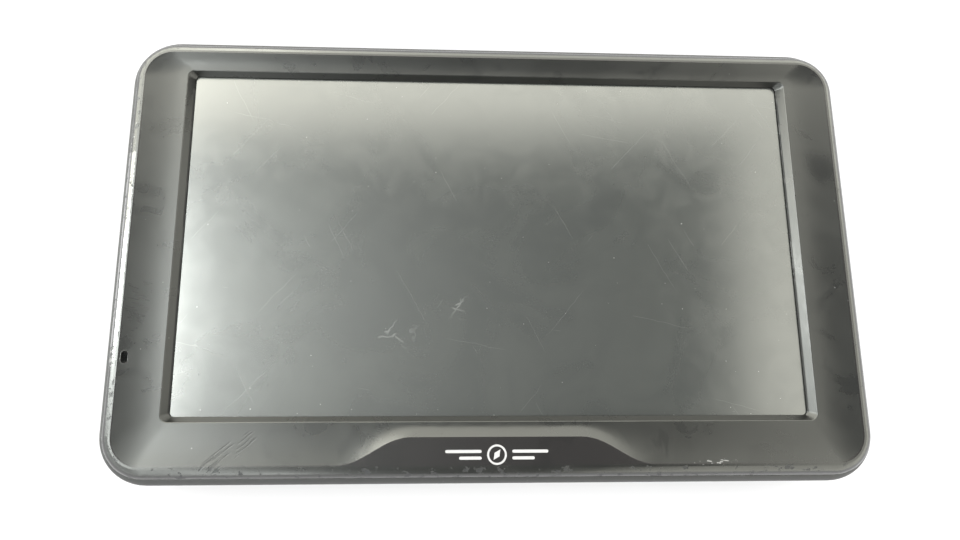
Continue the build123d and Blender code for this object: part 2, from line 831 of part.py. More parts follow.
def antenna_patch():
    """The ceramic block of the satellite antenna."""
    low = board_bottom_z - antenna_height
    return tile(antenna_side, antenna_side, low, board_bottom_z, (antenna_x, antenna_y), 0.6)


def antenna_plating():
    """The silver patch on the antenna's ceramic block."""
    high = board_bottom_z - antenna_height
    side = antenna_side - 5
    return tile(side, side, high - antenna_plating_thickness, high, (antenna_x, antenna_y))


def board_capacitors():
    """Can capacitors and inductors on the board's rear face."""
    cans = []
    for x, y, radius in capacitors:
        cans.append(rod(radius, board_bottom_z - capacitor_height, board_bottom_z, (x, y)))
    for place in coils:
        cans.append(tile(coil_side, coil_side, board_bottom_z - coil_height, board_bottom_z, place, 1.0))
    return group(cans)


def battery_cell():
    """The lithium pouch cell."""
    cell = tile(battery_length, battery_width, battery_bottom_z, battery_top_z, (battery_x, battery_y), 3.0)
    return fillet(cell.edges().group_by(Axis.Z)[0], 1.4)


def battery_pad():
    """The adhesive foam between the battery and the chassis."""
    centre = (battery_x, battery_y)
    return tile(battery_length - 8, battery_width - 8, battery_top_z, chassis_bottom_z, centre)


def battery_guard():
    """The cell's protection board, along its upper edge."""
    low = battery_y + battery_width / 2
    x = battery_x + battery_length / 2 - 16
    return slab((x - 12, x + 12), (low, low + 3.2), (battery_bottom_z + 2.2, battery_bottom_z + 3.2))


def battery_socket():
    """The battery's header on the board."""
    x, y = battery_socket_x, battery_socket_y
    low = board_bottom_z - 3.2
    body = slab((x - 2.5, x + 2.5), (y - 3.5, y + 3.5), (low, board_bottom_z))
    return body - slab((x - 4, x + 1.5), (y - 2.8, y + 2.8), (low + 0.6, board_bottom_z - 0.6))


def battery_plug():
    """The plug on the battery's leads."""
    x, y = battery_socket_x, battery_socket_y
    low = board_bottom_z - 3.2
    return slab((x - 4.5, x + 1.4), (y - 2.7, y + 2.7), (low + 0.7, board_bottom_z - 0.7))


def battery_leads():
    """Three leads from the protection board to the plug."""
    guard_x = battery_x + battery_length / 2 - 4
    guard_y = battery_y + battery_width / 2 + 1.6
    plug_x = battery_socket_x - 4.5
    leads = []
    for i in (-1, 0, 1):
        points = [
            (guard_x, guard_y + i * 1.0, battery_bottom_z + 2.7),
            (guard_x + 4, guard_y + i * 1.0, battery_bottom_z + 2.7),
            (cutout_right_x + 1, battery_socket_y + i * 1.0, board_bottom_z - 1.6),
            (plug_x - 4, battery_socket_y + i * 1.6, board_bottom_z - 1.6),
            (plug_x, battery_socket_y + i * 1.6, board_bottom_z - 1.6),
        ]
        leads.append(wire(points, wire_radius))
    return group(leads)


# ---------------------------------------------------------------- speaker
speaker_place = (speaker_x, speaker_y)
speaker_front_z = back_wall + mesh_thickness + speaker_foam
speaker_rear_z = speaker_front_z + speaker_height
cone_front_z = speaker_front_z + cone_travel + cone_clearance
yoke_front_z = speaker_front_z + 2.6
cone_apex_z = yoke_front_z - cone_travel - cone_clearance - cone_wall
coil_rear_z = yoke_front_z + 1.4


def speaker_mesh():
    """Dust cloth behind the grille."""
    return rod(grille_radius + grille_ledge - 0.6, back_wall, back_wall + mesh_thickness, speaker_place)


def speaker_gasket():
    """Foam ring that seals the speaker against the grille."""
    inner = cone_radius + surround_width + 0.2
    return tube(speaker_radius - 0.3, inner, back_wall + mesh_thickness, speaker_front_z, speaker_place)


def speaker_frame():
    """The speaker's moulded basket."""
    inner = cone_radius + surround_width
    basket = turned(
        [
            (inner, speaker_front_z),
            (speaker_radius, speaker_front_z),
            (speaker_radius, speaker_front_z + 1.1),
            (11.6, speaker_rear_z - 1.4),
            (11.6, speaker_rear_z),
            (yoke_radius, speaker_rear_z),
            (yoke_radius, yoke_front_z + 0.2),
            (inner, speaker_front_z + 1.3),
        ],
        speaker_place,
    )
    basket += slab(
        (speaker_x - speaker_radius, speaker_x - speaker_radius + 1.6),
        (speaker_y - 2.5, speaker_y + 2.5),
        (speaker_front_z + 1.1 - sink, speaker_front_z + 1.5),
    )
    for turn in range(4):
        vent = Pos(speaker_x, speaker_y, 0) * Rot(0, 0, 45 + 90 * turn) * Pos(12.6, 0, yoke_front_z + 0.9)
        basket -= vent * Box(4.2, 5.0, 1.0)
    return basket


def speaker_yoke():
    """The steel cup round the magnet."""
    cup = tube(yoke_radius, 7.2, yoke_front_z, speaker_rear_z, speaker_place)
    return cup + rod(yoke_radius, speaker_rear_z - 0.7, speaker_rear_z, speaker_place)


def speaker_magnet():
    """The magnet on the cup's floor."""
    return rod(5.0, yoke_front_z + 0.7, speaker_rear_z - 0.7, speaker_place)


def speaker_pole_plate():
    """The steel disc on the magnet."""
    return rod(5.1, yoke_front_z, yoke_front_z + 0.7, speaker_place)


def speaker_cone():
    """The paper cone with its domed dust cap."""
    wall = cone_wall
    cone = turned(
        [
            (cone_radius, cone_front_z),
            (cone_radius, cone_front_z + wall),
            (coil_radius + coil_wall, cone_apex_z + wall),
            (coil_radius, cone_apex_z + wall),
            (coil_radius - 1.5, cone_apex_z - 0.3 + wall),
            (0, cone_apex_z - 0.8 + wall),
            (0, cone_apex_z - 0.8),
            (coil_radius - 1.5, cone_apex_z - 0.3),
            (coil_radius + coil_wall, cone_apex_z),
        ],
        speaker_place,
    )
    return cone


def voice_coil():
    """The coil on its former, behind the cone."""
    return tube(coil_radius + coil_wall, coil_radius, cone_apex_z + cone_wall, coil_rear_z, speaker_place)


def speaker_surround():
    """The soft roll between the cone and the basket."""
    inner, outer = cone_radius, cone_radius + surround_width
    middle = (inner + outer) / 2
    z = cone_front_z
    return turned(
        [
            (inner, z),
            (middle, z - 0.35),
            (outer, z),
            (outer, z + 0.15),
            (middle, z - 0.2),
            (inner, z + 0.15),
        ],
        speaker_place,
    )


def speaker_leads():
    """Two leads from the basket to pads on the board."""
    radius = wire_radius * 0.8
    start_x = speaker_x - speaker_radius + 0.4
    start_z = speaker_front_z + 1.5 + radius
    end_z = board_bottom_z - radius
    leads = []
    for i in (-1, 1):
        y = speaker_y + i * 1.2
        points = [
            (start_x, y, start_z),
            (start_x - 2.6, y, start_z),
            (start_x - 5.0, y + i, end_z),
            (start_x - 7.5, y + 2 * i, end_z),
        ]
        leads.append(wire(points, radius))
    return group(leads)


# ---------------------------------------------------------------- power key and its switch
def switch_edge_y():
    """Outer face of the side-push switch."""
    return half_width - side_wall - fit_gap - key_flange_thickness - key_travel - 2.2


def nub_z():
    return board_bottom_z - switch_height / 2


def power_key():
    """The key, following the cover's outside, with its retaining flange and nub."""
    wall_y = half_width - side_wall
    stem = key_outline(0, wall_y - 0.2, half_width + 1)
    stem = stem & cover_envelope()
    flange_high = wall_y - fit_gap
    flange_low = flange_high - key_flange_thickness
    flange = Pos(key_x, 0, key_z) * slab(
        (-key_length / 2 - key_flange, key_length / 2 + key_flange),
        (flange_low, flange_high),
        (-key_height / 2 - key_flange, key_height / 2 + key_flange),
    )
    flange = flange & Pos(0, -fit_gap, 0) * cover_cavity()
    neck = key_outline(-0.3, flange_low, wall_y)
    nub_low = switch_edge_y() + 1.15
    nub = slab(
        (key_x - key_nub_length / 2, key_x + key_nub_length / 2),
        (nub_low, flange_low + sink),
        (nub_z() - 0.7, nub_z() + 0.7),
    )
    return stem + flange + neck + nub


def switch_body():
    """The side-push switch on the board, hollow for its plunger."""
    y = switch_edge_y()
    body = slab(
        (key_x - switch_length / 2, key_x + switch_length / 2),
        (y - switch_width, y),
        (board_bottom_z - switch_height, board_bottom_z),
    )
    hole = slab(
        (key_x - plunger_length / 2 - 0.1, key_x + plunger_length / 2 + 0.1),
        (y - 2.0, y + 1),
        (nub_z() - plunger_height / 2 - 0.1, nub_z() + plunger_height / 2 + 0.1),
    )
    return body - hole


def switch_plunger():
    """The switch's plunger, which the key's nub pushes."""
    y = switch_edge_y()
    return slab(
        (key_x - plunger_length / 2, key_x + plunger_length / 2),
        (y - 1.4, y + 1.1),
        (nub_z() - plunger_height / 2, nub_z() + plunger_height / 2),
    )


# ---------------------------------------------------------------- ports
def usb_shell():
    """The steel shell of the mini-B socket."""
    z = usb_top_z - usb_height / 2
    outer = tile(usb_length, usb_height, 0, usb_depth, radius=0.7)
    inner = tile(usb_length - 2 * usb_wall, usb_height - 2 * usb_wall, -1, usb_depth - usb_wall, radius=0.4)
    return Pos(usb_x, usb_front_y, z) * Rot(-90, 0, 0) * (outer - inner)


def usb_tongue():
    """The socket's contact tongue and its base."""
    z = usb_top_z - usb_height / 2
    length, height = usb_length - 2 * usb_wall, usb_height - 2 * usb_wall
    base = tile(length, height, usb_depth - usb_wall - 2.0, usb_depth - usb_wall, radius=0.4)
    tongue = tile(length - 2.6, 0.8, 1.2, usb_depth - usb_wall - 1.9)
    return Pos(usb_x, usb_front_y, z) * Rot(-90, 0, 0) * (base + tongue)


def card_socket():
    """The push-push memory card socket, open at its mouth."""
    low = board_bottom_z - card_socket_height
    half = card_socket_length / 2
    along = (card_front_y, card_front_y + card_socket_depth)
    shell = slab((card_x - half, card_x + half), along, (low, board_bottom_z))
    wall = card_socket_wall
    return shell - slab(
        (card_x - half + wall, card_x + half - wall),
        (card_front_y - 1, card_front_y + card_socket_depth - wall),
        (low + wall, board_bottom_z - wall),
    )


def card_slider():
    """The socket's sprung ejector slider."""
    low = board_bottom_z - card_socket_height + card_socket_wall + 0.05
    high = board_bottom_z - card_socket_wall - 0.05
    right = card_x + card_socket_length / 2 - card_socket_wall - 0.05
    back = card_front_y + card_socket_depth - card_socket_wall - slider_travel - 2.2
    body = slab((right - slider_length, right), (back - slider_depth, back), (low, high))
    toe = slab((right - slider_length - 2.2, right), (back - 1.2, back), (low, high))
    return body + toe


def card_spring():
    """The ejector's coil spring, between the slider and the socket's end."""
    turns = 7
    radius = 0.42
    thread = 0.07
    start_y = card_front_y + card_socket_depth - card_socket_wall - slider_travel - 2.2
    length = slider_travel + 2.2 - 2 * thread
    x = card_x + card_socket_length / 2 - card_socket_wall - 0.05 - slider_length / 2
    z = board_bottom_z - card_socket_height / 2
    helix = Helix(pitch=length / turns, height=length, radius=radius)
    profile = Plane(origin=helix @ 0, z_dir=helix % 0) * Circle(thread)
    coil = sweep(profile, path=helix, is_frenet=True)
    return Pos(x, start_y + thread, z) * Rot(-90, 0, 0) * coil


# ---------------------------------------------------------------- microphone
def mic_centre():
    """The capsule sits against the skirt, beside its port."""
    x = -half_length + skirt_inner_inset + mic_boot_wall + mic_radius + mic_boot_gap
    return (x, mic_y)


def mic_boot():
    """The rubber boot that seals the microphone under its port."""
    low = lip_bottom_z - mic_height - 1.6
    boot = rod(mic_radius + mic_boot_wall, low, lip_bottom_z, mic_centre())
    boot -= rod(mic_radius + 0.02, low - 1, low + 0.4 + mic_height, mic_centre())
    duct = extrude(SlotOverall(mic_port_length - 0.4, mic_port_width - 0.3, rotation=90), 10)
    return boot - Pos(mic_x, mic_y, low) * duct


def microphone():
    """The microphone capsule."""
    low = lip_bottom_z - mic_height - 1.2
    return rod(mic_radius, low, low + mic_height, mic_centre())


def mic_leads():
    """Two leads from the microphone to the board's edge."""
    x, y = mic_centre()
    radius = wire_radius * 0.7
    low = lip_bottom_z - mic_height - 1.2
    run_z = board_bottom_z - 1.4
    leads = []
    for i in (-1, 1):
        lane = x + 0.7 * i
        end_y = cutout_high_y + 4 - 1.2 * i
        points = [
            (lane, y - 0.9, low),
            (lane, y - 0.9, run_z),
            (lane, end_y - 5, run_z),
            (-board_half - 2, end_y, run_z),
            (-board_half + 1, end_y, board_bottom_z - radius),
            (-board_half + 4, end_y, board_bottom_z - radius),
        ]
        leads.append(wire(points, radius))
    return group(leads)


def rear_label():
    """The blank rating label in its recess on the back."""
    low = label_recess - label_thickness
    return tile(label_length, label_width, low, label_recess, (label_x, label_y), 1.8)


NODES = {
    "front_bezel": front_bezel,
    "rear_cover": rear_cover,
    "emblem": emblem,
    "mount_receiver": mount_receiver,
    "speaker_grille": speaker_grille,
    "case_screws": case_screws,
    "rear_label": rear_label,
    "screen_gasket": screen_gasket,
    "touch_film": touch_film,
    "touch_glass": touch_glass,
    "touch_tape": touch_tape,
    "touch_flex": touch_flex,
    "panel_frame": panel_frame,
    "panel_cell": lambda: panel_layer(cell_bottom_z, panel_top_z),
    "optical_sheet": lambda: panel_layer(sheet_bottom_z, cell_bottom_z),
    "light_guide": light_guide,
    "lamp_strip": lamp_strip,
    "back_plate": back_plate,
    "panel_flex": panel_flex,
    "chassis": chassis,
    "chassis_screws": chassis_screws,
    "main_board": main_board,
    "board_screws": board_screws,
    "flat_cable_sockets": flat_cable_sockets,
    "processor": processor,
    "memory_chips": memory_chips,
    "processor_shield": processor_shield,
    "receiver_chip": receiver_chip,
    "receiver_shield": receiver_shield,
    "antenna_patch": antenna_patch,
    "antenna_plating": antenna_plating,
    "board_capacitors": board_capacitors,
    "battery_cell": battery_cell,
    "battery_pad": battery_pad,
    "battery_guard": battery_guard,
    "battery_leads": battery_leads,
    "battery_plug": battery_plug,
    "battery_socket": battery_socket,
    "speaker_mesh": speaker_mesh,
    "speaker_gasket": speaker_gasket,
    "speaker_frame": speaker_frame,
    "speaker_yoke": speaker_yoke,
    "speaker_magnet": speaker_magnet,
    "speaker_pole_plate": speaker_pole_plate,
    "speaker_cone": speaker_cone,
    "speaker_surround": speaker_surround,
    "voice_coil": voice_coil,
    "speaker_leads": speaker_leads,
    "power_key": power_key,
    "switch_body": switch_body,
    "switch_plunger": switch_plunger,
    "usb_shell": usb_shell,
    "usb_tongue": usb_tongue,
    "card_socket": card_socket,
    "card_slider": card_slider,
    "card_spring": card_spring,
    "mic_boot": mic_boot,
    "microphone": microphone,
    "mic_leads": mic_leads,
}

os.makedirs("parts", exist_ok=True)
for node, make in NODES.items():
    export_step(make(), os.path.join("parts", node + ".step"))
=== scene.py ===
"""Looks of the portable GPS navigator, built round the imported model."""

from math import pi, radians

import bpy
from mathutils import Matrix, Vector


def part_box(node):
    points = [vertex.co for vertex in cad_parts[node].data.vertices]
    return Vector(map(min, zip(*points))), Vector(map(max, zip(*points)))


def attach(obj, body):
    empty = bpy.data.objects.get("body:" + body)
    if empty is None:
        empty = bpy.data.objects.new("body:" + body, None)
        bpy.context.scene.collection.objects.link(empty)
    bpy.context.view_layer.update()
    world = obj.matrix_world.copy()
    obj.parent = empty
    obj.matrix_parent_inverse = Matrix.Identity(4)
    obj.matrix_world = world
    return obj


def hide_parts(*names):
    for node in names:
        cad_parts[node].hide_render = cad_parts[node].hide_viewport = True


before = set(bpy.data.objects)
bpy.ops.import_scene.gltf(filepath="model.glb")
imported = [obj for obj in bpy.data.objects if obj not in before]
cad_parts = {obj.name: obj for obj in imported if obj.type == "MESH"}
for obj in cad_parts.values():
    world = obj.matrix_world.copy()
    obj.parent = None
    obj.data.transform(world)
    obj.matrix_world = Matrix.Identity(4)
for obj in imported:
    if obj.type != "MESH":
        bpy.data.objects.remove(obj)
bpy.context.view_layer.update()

MM = 0.001
CASE = "case"
case_low, case_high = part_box("rear_cover")
half_length = (case_high.x - case_low.x) / 2 / MM
half_width = (case_high.y - case_low.y) / 2 / MM
corner_radius = 12.0         # mm, of the case's outline
crest_inset = 5.0            # mm, inner edge of the rim's crest
opening_inset = 15.3         # mm, screen opening's edge
crest_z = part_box("front_bezel")[1].z / MM
film_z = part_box("touch_film")[1].z / MM
window_half = 77.4           # mm, visible width of the screen
window_low = -40.35
mic_x = -87.6                # mm, microphone port
mic_y = -26.4
mic_z = 20.16                # mm, the port's bead, on the dish just inside the rim
peel_low = -22.4             # mm, peeled strip along the left rim
peel_high = 25.6
lower_screw_x = 40.0         # mm, the two screws along the lower edge


# ---------------------------------------------------------------- node trees
class Tree:
    """A node tree under construction."""

    def __init__(self, tree):
        self.nodes = tree.nodes
        self.links = tree.links
        self.nodes.clear()

    def put(self, kind, inputs=None, **settings):
        """Adds a node with its settings, and feeds its inputs by name or number."""
        node = self.nodes.new(kind)
        for name, value in settings.items():
            setattr(node, name, value)
        for key, value in (inputs or {}).items():
            self.feed(node.inputs[key], value)
        return node

    def feed(self, socket, value):
        """Links a socket, or sets its value."""
        if isinstance(value, bpy.types.NodeSocket):
            self.links.new(value, socket)
        elif socket.type == "RGBA" and len(value) == 3:
            socket.default_value = (*value, 1.0)
        else:
            socket.default_value = value

    def math(self, operation, a, b=0.0, c=0.0):
        return self.put("ShaderNodeMath", {0: a, 1: b, 2: c}, operation=operation).outputs[0]

    def times(self, *values):
        product = values[0]
        for value in values[1:]:
            product = self.math("MULTIPLY", product, value)
        return product

    def plus(self, *values):
        total = values[0]
        for value in values[1:]:
            total = self.math("ADD", total, value)
        return total

    def most(self, *values):
        top = values[0]
        for value in values[1:]:
            top = self.math("MAXIMUM", top, value)
        return top

    def inverse(self, value):
        return self.math("SUBTRACT", 1.0, value)

    def ramp(self, value, low, high, smooth=True):
        """0 at low and below, 1 at high and beyond; low may be the larger."""
        return self.put(
            "ShaderNodeMapRange",
            {"Value": value, "From Min": low, "From Max": high},
            interpolation_type="SMOOTHSTEP" if smooth else "LINEAR",
        ).outputs[0]

    def band(self, value, low, high, soft):
        """1 between low and high, with soft ends outside them."""
        return self.times(self.ramp(value, low - soft, low), self.ramp(value, high + soft, high))

    def mix(self, share, a, b):
        """From number a to number b."""
        return self.put("ShaderNodeMix", {0: share, 2: a, 3: b}, data_type="FLOAT").outputs[0]

    def tint(self, share, a, b):
        """From colour a to colour b."""
        return self.put("ShaderNodeMix", {0: share, 6: a, 7: b}, data_type="RGBA").outputs[2]

    def vector(self, operation, a, b):
        return self.put("ShaderNodeVectorMath", {0: a, 1: b}, operation=operation).outputs[0]

    def split(self, vector):
        return self.put("ShaderNodeSeparateXYZ", {0: vector}).outputs[:3]

    def join(self, x, y, z):
        return self.put("ShaderNodeCombineXYZ", {0: x, 1: y, 2: z}).outputs[0]

    def noise(self, vector, scale, detail=2.0, roughness=0.5, distortion=0.0):
        inputs = {
            "Vector": vector, "Scale": scale, "Detail": detail,
            "Roughness": roughness, "Distortion": distortion,
        }
        return self.put("ShaderNodeTexNoise", inputs).outputs[0]

    def cells(self, vector, scale, feature="F1"):
        return self.put("ShaderNodeTexVoronoi", {"Vector": vector, "Scale": scale}, feature=feature)

    def bump(self, height, distance, strength=1.0, normal=None):
        inputs = {"Height": height, "Distance": distance, "Strength": strength}
        if normal is not None:
            inputs["Normal"] = normal
        return self.put("ShaderNodeBump", inputs).outputs[0]

    def use(self, group, inputs):
        """Places a shared group and returns its outputs."""
        node = self.nodes.new("ShaderNodeGroup")
        node.node_tree = group
        for key, value in inputs.items():
            self.feed(node.inputs[key], value)
        return node.outputs


def new_group(name, inputs, outputs):
    """A shader group with named sockets: the tree, its inside inputs and its inside outputs."""
    group = bpy.data.node_groups.new(name, "ShaderNodeTree")
    for label, kind, start in inputs:
        socket = group.interface.new_socket(label, in_out="INPUT", socket_type=kind)
        if start is not None:
            socket.default_value = start
    for label, kind in outputs:
        group.interface.new_socket(label, in_out="OUTPUT", socket_type=kind)
    tree = Tree(group)
    inside = tree.put("NodeGroupInput").outputs
    result = tree.put("NodeGroupOutput").inputs
    return group, tree, inside, result


FLOAT, VECTOR = "NodeSocketFloat", "NodeSocketVector"
PLACE = ("Place", VECTOR, None)


# ---------------------------------------------------------------- shared effects
def outline_group():
    """How far a place lies in from a rounded rectangle's edge, in millimetres."""
    group, tree, inside, result = new_group(
        "Rounded Outline",
        [PLACE, ("Half Length", FLOAT, 90.0), ("Half Width", FLOAT, 50.0), ("Corner Radius", FLOAT, 10.0)],
        [("Inset", FLOAT)],
    )
    x, y, _ = tree.split(inside["Place"])
    radius = inside["Corner Radius"]
    reach = []
    for value, half in ((x, inside["Half Length"]), (y, inside["Half Width"])):
        straight = tree.math("SUBTRACT", half, radius)
        reach.append(tree.math("SUBTRACT", tree.math("ABSOLUTE", value), straight))
    corner = [tree.math("MAXIMUM", value, 0.0) for value in reach]
    squares = [tree.times(side, side) for side in corner]
    outside = tree.math("SQRT", tree.plus(*squares))
    within = tree.math("MINIMUM", tree.most(*reach), 0.0)
    tree.feed(result["Inset"], tree.math("SUBTRACT", tree.math("SUBTRACT", radius, outside), within))
    return group


def grain_group():
    """Spark-eroded mould texture: a fine height and a slow tone."""
    group, tree, inside, result = new_group(
        "Moulded Grain",
        [PLACE, ("Grain Size", FLOAT, 0.2)],
        [("Height", FLOAT), ("Tone", FLOAT)],
    )
    scale = tree.math("DIVIDE", 1.0, inside["Grain Size"])
    pits = tree.cells(inside["Place"], scale, "SMOOTH_F1").outputs["Distance"]
    fine = tree.noise(inside["Place"], tree.times(scale, 1.7), 3.0, 0.6)
    tree.feed(result["Height"], tree.plus(tree.times(pits, 0.6), tree.times(fine, 0.5)))
    tree.feed(result["Tone"], tree.noise(inside["Place"], 0.09, 4.0, 0.55))
    return group


def dust_group():
    """Sparse specks, each in a cell of its own."""
    group, tree, inside, result = new_group(
        "Dust",
        [PLACE, ("Spacing", FLOAT, 2.0), ("Speck Size", FLOAT, 0.1), ("Amount", FLOAT, 0.5)],
        [("Mask", FLOAT)],
    )
    scale = tree.math("DIVIDE", 1.0, inside["Spacing"])
    cells = tree.cells(inside["Place"], scale)
    size_share, chance, _ = tree.split(cells.outputs["Color"])
    reach = tree.times(inside["Speck Size"], scale, tree.plus(size_share, 0.25))
    speck = tree.ramp(cells.outputs["Distance"], reach, tree.times(reach, 0.4))
    kept = tree.math("LESS_THAN", chance, inside["Amount"])
    tree.feed(result["Mask"], tree.times(speck, kept))
    return group


def scratch_group():
    """Separate straight hairlines that run roughly one way, each in a long cell of its own."""
    group, tree, inside, result = new_group(
        "Scratches",
        [PLACE, ("Angle", FLOAT, 0.0), ("Length", FLOAT, 8.0), ("Pitch", FLOAT, 0.8),
         ("Width", FLOAT, 0.06), ("Amount", FLOAT, 0.5)],
        [("Mask", FLOAT)],
    )
    turned = tree.put(
        "ShaderNodeVectorRotate",
        {"Vector": inside["Place"], "Angle": inside["Angle"]},
        rotation_type="Z_AXIS",
    ).outputs[0]
    x, y, z = tree.split(turned)
    wander = tree.times(tree.math("SUBTRACT", tree.noise(inside["Place"], 0.15, 2.0, 0.5), 0.5), 1.5)
    stretched = tree.join(
        tree.math("DIVIDE", x, inside["Length"]),
        tree.math("DIVIDE", tree.plus(y, wander), inside["Pitch"]),
        tree.math("DIVIDE", z, inside["Length"]),
    )
    cells = tree.cells(stretched, 1.0)
    along, across, _ = tree.split(tree.vector("SUBTRACT", stretched, cells.outputs["Position"]))
    chance, lean, share = tree.split(cells.outputs["Color"])
    skew = tree.times(along, tree.math("SUBTRACT", lean, 0.5), 0.7)
    distance = tree.times(tree.math("ABSOLUTE", tree.plus(across, skew)), inside["Pitch"])
    line = tree.ramp(distance, inside["Width"], tree.times(inside["Width"], 0.3))
    reach = tree.plus(0.12, tree.times(share, 0.3))
    ends = tree.ramp(tree.math("ABSOLUTE", along), reach, tree.times(reach, 0.6))
    kept = tree.math("LESS_THAN", chance, inside["Amount"])
    tree.feed(result["Mask"], tree.times(line, ends, kept))
    return group


def smudge_group():
    """Slow cloudy patches, from 0 to 1."""
    group, tree, inside, result = new_group(
        "Smudges", [PLACE, ("Size", FLOAT, 20.0)], [("Patch", FLOAT)]
    )
    cloud = tree.noise(inside["Place"], tree.math("DIVIDE", 1.0, inside["Size"]), 4.0, 0.6, 0.8)
    tree.feed(result["Patch"], tree.ramp(cloud, 0.35, 0.68))
    return group


def spot_group():
    """A ragged oval mark at one place."""
    group, tree, inside, result = new_group(
        "Spot",
        [PLACE, ("Centre", VECTOR, (0, 0, 0)), ("Half Length", FLOAT, 1.0), ("Half Width", FLOAT, 1.0),
         ("Angle", FLOAT, 0.0), ("Ragged", FLOAT, 0.6), ("Tooth", FLOAT, 1.0), ("Soft", FLOAT, 0.25)],
        [("Mask", FLOAT)],
    )
    local = tree.vector("SUBTRACT", inside["Place"], inside["Centre"])
    turned = tree.put(
        "ShaderNodeVectorRotate",
        {"Vector": local, "Angle": tree.times(inside["Angle"], -1.0)},
        rotation_type="Z_AXIS",
    ).outputs[0]
    x, y, _ = tree.split(turned)
    along = tree.math("DIVIDE", x, inside["Half Length"])
    across = tree.math("DIVIDE", y, inside["Half Width"])
    radius = tree.math("SQRT", tree.plus(tree.times(along, along), tree.times(across, across)))
    tooth = tree.noise(inside["Place"], tree.math("DIVIDE", 1.0, inside["Tooth"]), 3.0, 0.65)
    shift = tree.times(tree.math("SUBTRACT", tooth, 0.5), inside["Ragged"], 2.0)
    edge = tree.plus(radius, shift)
    tree.feed(result["Mask"], tree.ramp(edge, 1.0, tree.math("SUBTRACT", 1.0, inside["Soft"])))
    return group


def edge_group():
    """Rubbed edges: where the surface turns within a small radius."""
    group, tree, inside, result = new_group(
        "Rubbed Edges", [PLACE, ("Break-up", FLOAT, 0.5)], [("Mask", FLOAT)]
    )
    rounded = tree.put("ShaderNodeBevel", {"Radius": 0.35 * MM}, samples=4).outputs[0]
    flat = tree.put("ShaderNodeNewGeometry").outputs["Normal"]
    agreement = tree.put(
        "ShaderNodeVectorMath", {0: rounded, 1: flat}, operation="DOT_PRODUCT"
    ).outputs["Value"]
    turn = tree.ramp(agreement, 0.995, 0.93)
    patches = tree.noise(inside["Place"], 0.6, 4.0, 0.7)
    limit = tree.times(inside["Break-up"], 0.9)
    tree.feed(result["Mask"], tree.times(turn, tree.ramp(patches, limit, tree.plus(limit, 0.12))))
    return group


def streak_group():
    """Rolled or drawn metal: long fine streaks."""
    group, tree, inside, result = new_group(
        "Drawn Metal", [PLACE, ("Pitch", FLOAT, 0.08)], [("Height", FLOAT), ("Tone", FLOAT)]
    )
    x, y, z = tree.split(inside["Place"])
    long_way = tree.join(tree.times(x, 0.02), y, z)
    scale = tree.math("DIVIDE", 1.0, inside["Pitch"])
    tree.feed(result["Height"], tree.noise(long_way, scale, 2.0, 0.6))
    tree.feed(result["Tone"], tree.noise(inside["Place"], 0.3, 3.0, 0.6))
    return group


def weave_group():
    """Plain weave: two crossed sets of threads."""
    group, tree, inside, result = new_group(
        "Plain Weave", [PLACE, ("Pitch", FLOAT, 0.3)], [("Height", FLOAT), ("Tone", FLOAT)]
    )
    x, y, _ = tree.split(inside["Place"])
    turn = tree.math("DIVIDE", 2 * pi, inside["Pitch"])
    warp = tree.math("SINE", tree.times(x, turn))
    weft = tree.math("SINE", tree.times(y, turn))
    over = tree.times(warp, weft)
    tree.feed(result["Height"], tree.plus(tree.times(over, 0.5), 0.5))
    tree.feed(result["Tone"], tree.noise(inside["Place"], 1.5, 3.0, 0.6))
    return group


OUTLINE = outline_group()
GRAIN = grain_group()
DUST = dust_group()
SCRATCHES = scratch_group()
SMUDGES = smudge_group()
SPOT = spot_group()
EDGES = edge_group()
STREAKS = streak_group()
WEAVE = weave_group()


# ---------------------------------------------------------------- materials
def surface(name, constants=None):
    """A new material: itself, its tree, its shader, and the place on the piece in millimetres."""
    material = bpy.data.materials.new(name)
    material.use_nodes = True
    tree = Tree(material.node_tree)
    shader = tree.put("ShaderNodeBsdfPrincipled", constants)
    tree.put("ShaderNodeOutputMaterial", {"Surface": shader.outputs[0]})
    spot = tree.put("ShaderNodeTexCoord").outputs["Object"]
    place = tree.vector("MULTIPLY", spot, (1 / MM, 1 / MM, 1 / MM))
    return material, tree, shader, place


def wire_up(tree, shader, **sockets):
    """Feeds the shader's inputs, with underscores for the spaces in their names."""
    for name, value in sockets.items():
        tree.feed(shader.inputs[name.replace("_", " ")], value)


def spots(tree, place, rows, soft=0.25):
    """The marks in rows of (x, y, half length, half width, angle in degrees, raggedness), together."""
    masks = []
    for x, y, half_long, half_wide, angle, ragged in rows:
        masks.append(tree.use(SPOT, {
            "Place": place, "Centre": (x, y, 0), "Half Length": half_long, "Half Width": half_wide,
            "Angle": radians(angle), "Ragged": ragged, "Tooth": max(0.35, half_wide), "Soft": soft,
        })["Mask"])
    return tree.most(*masks)


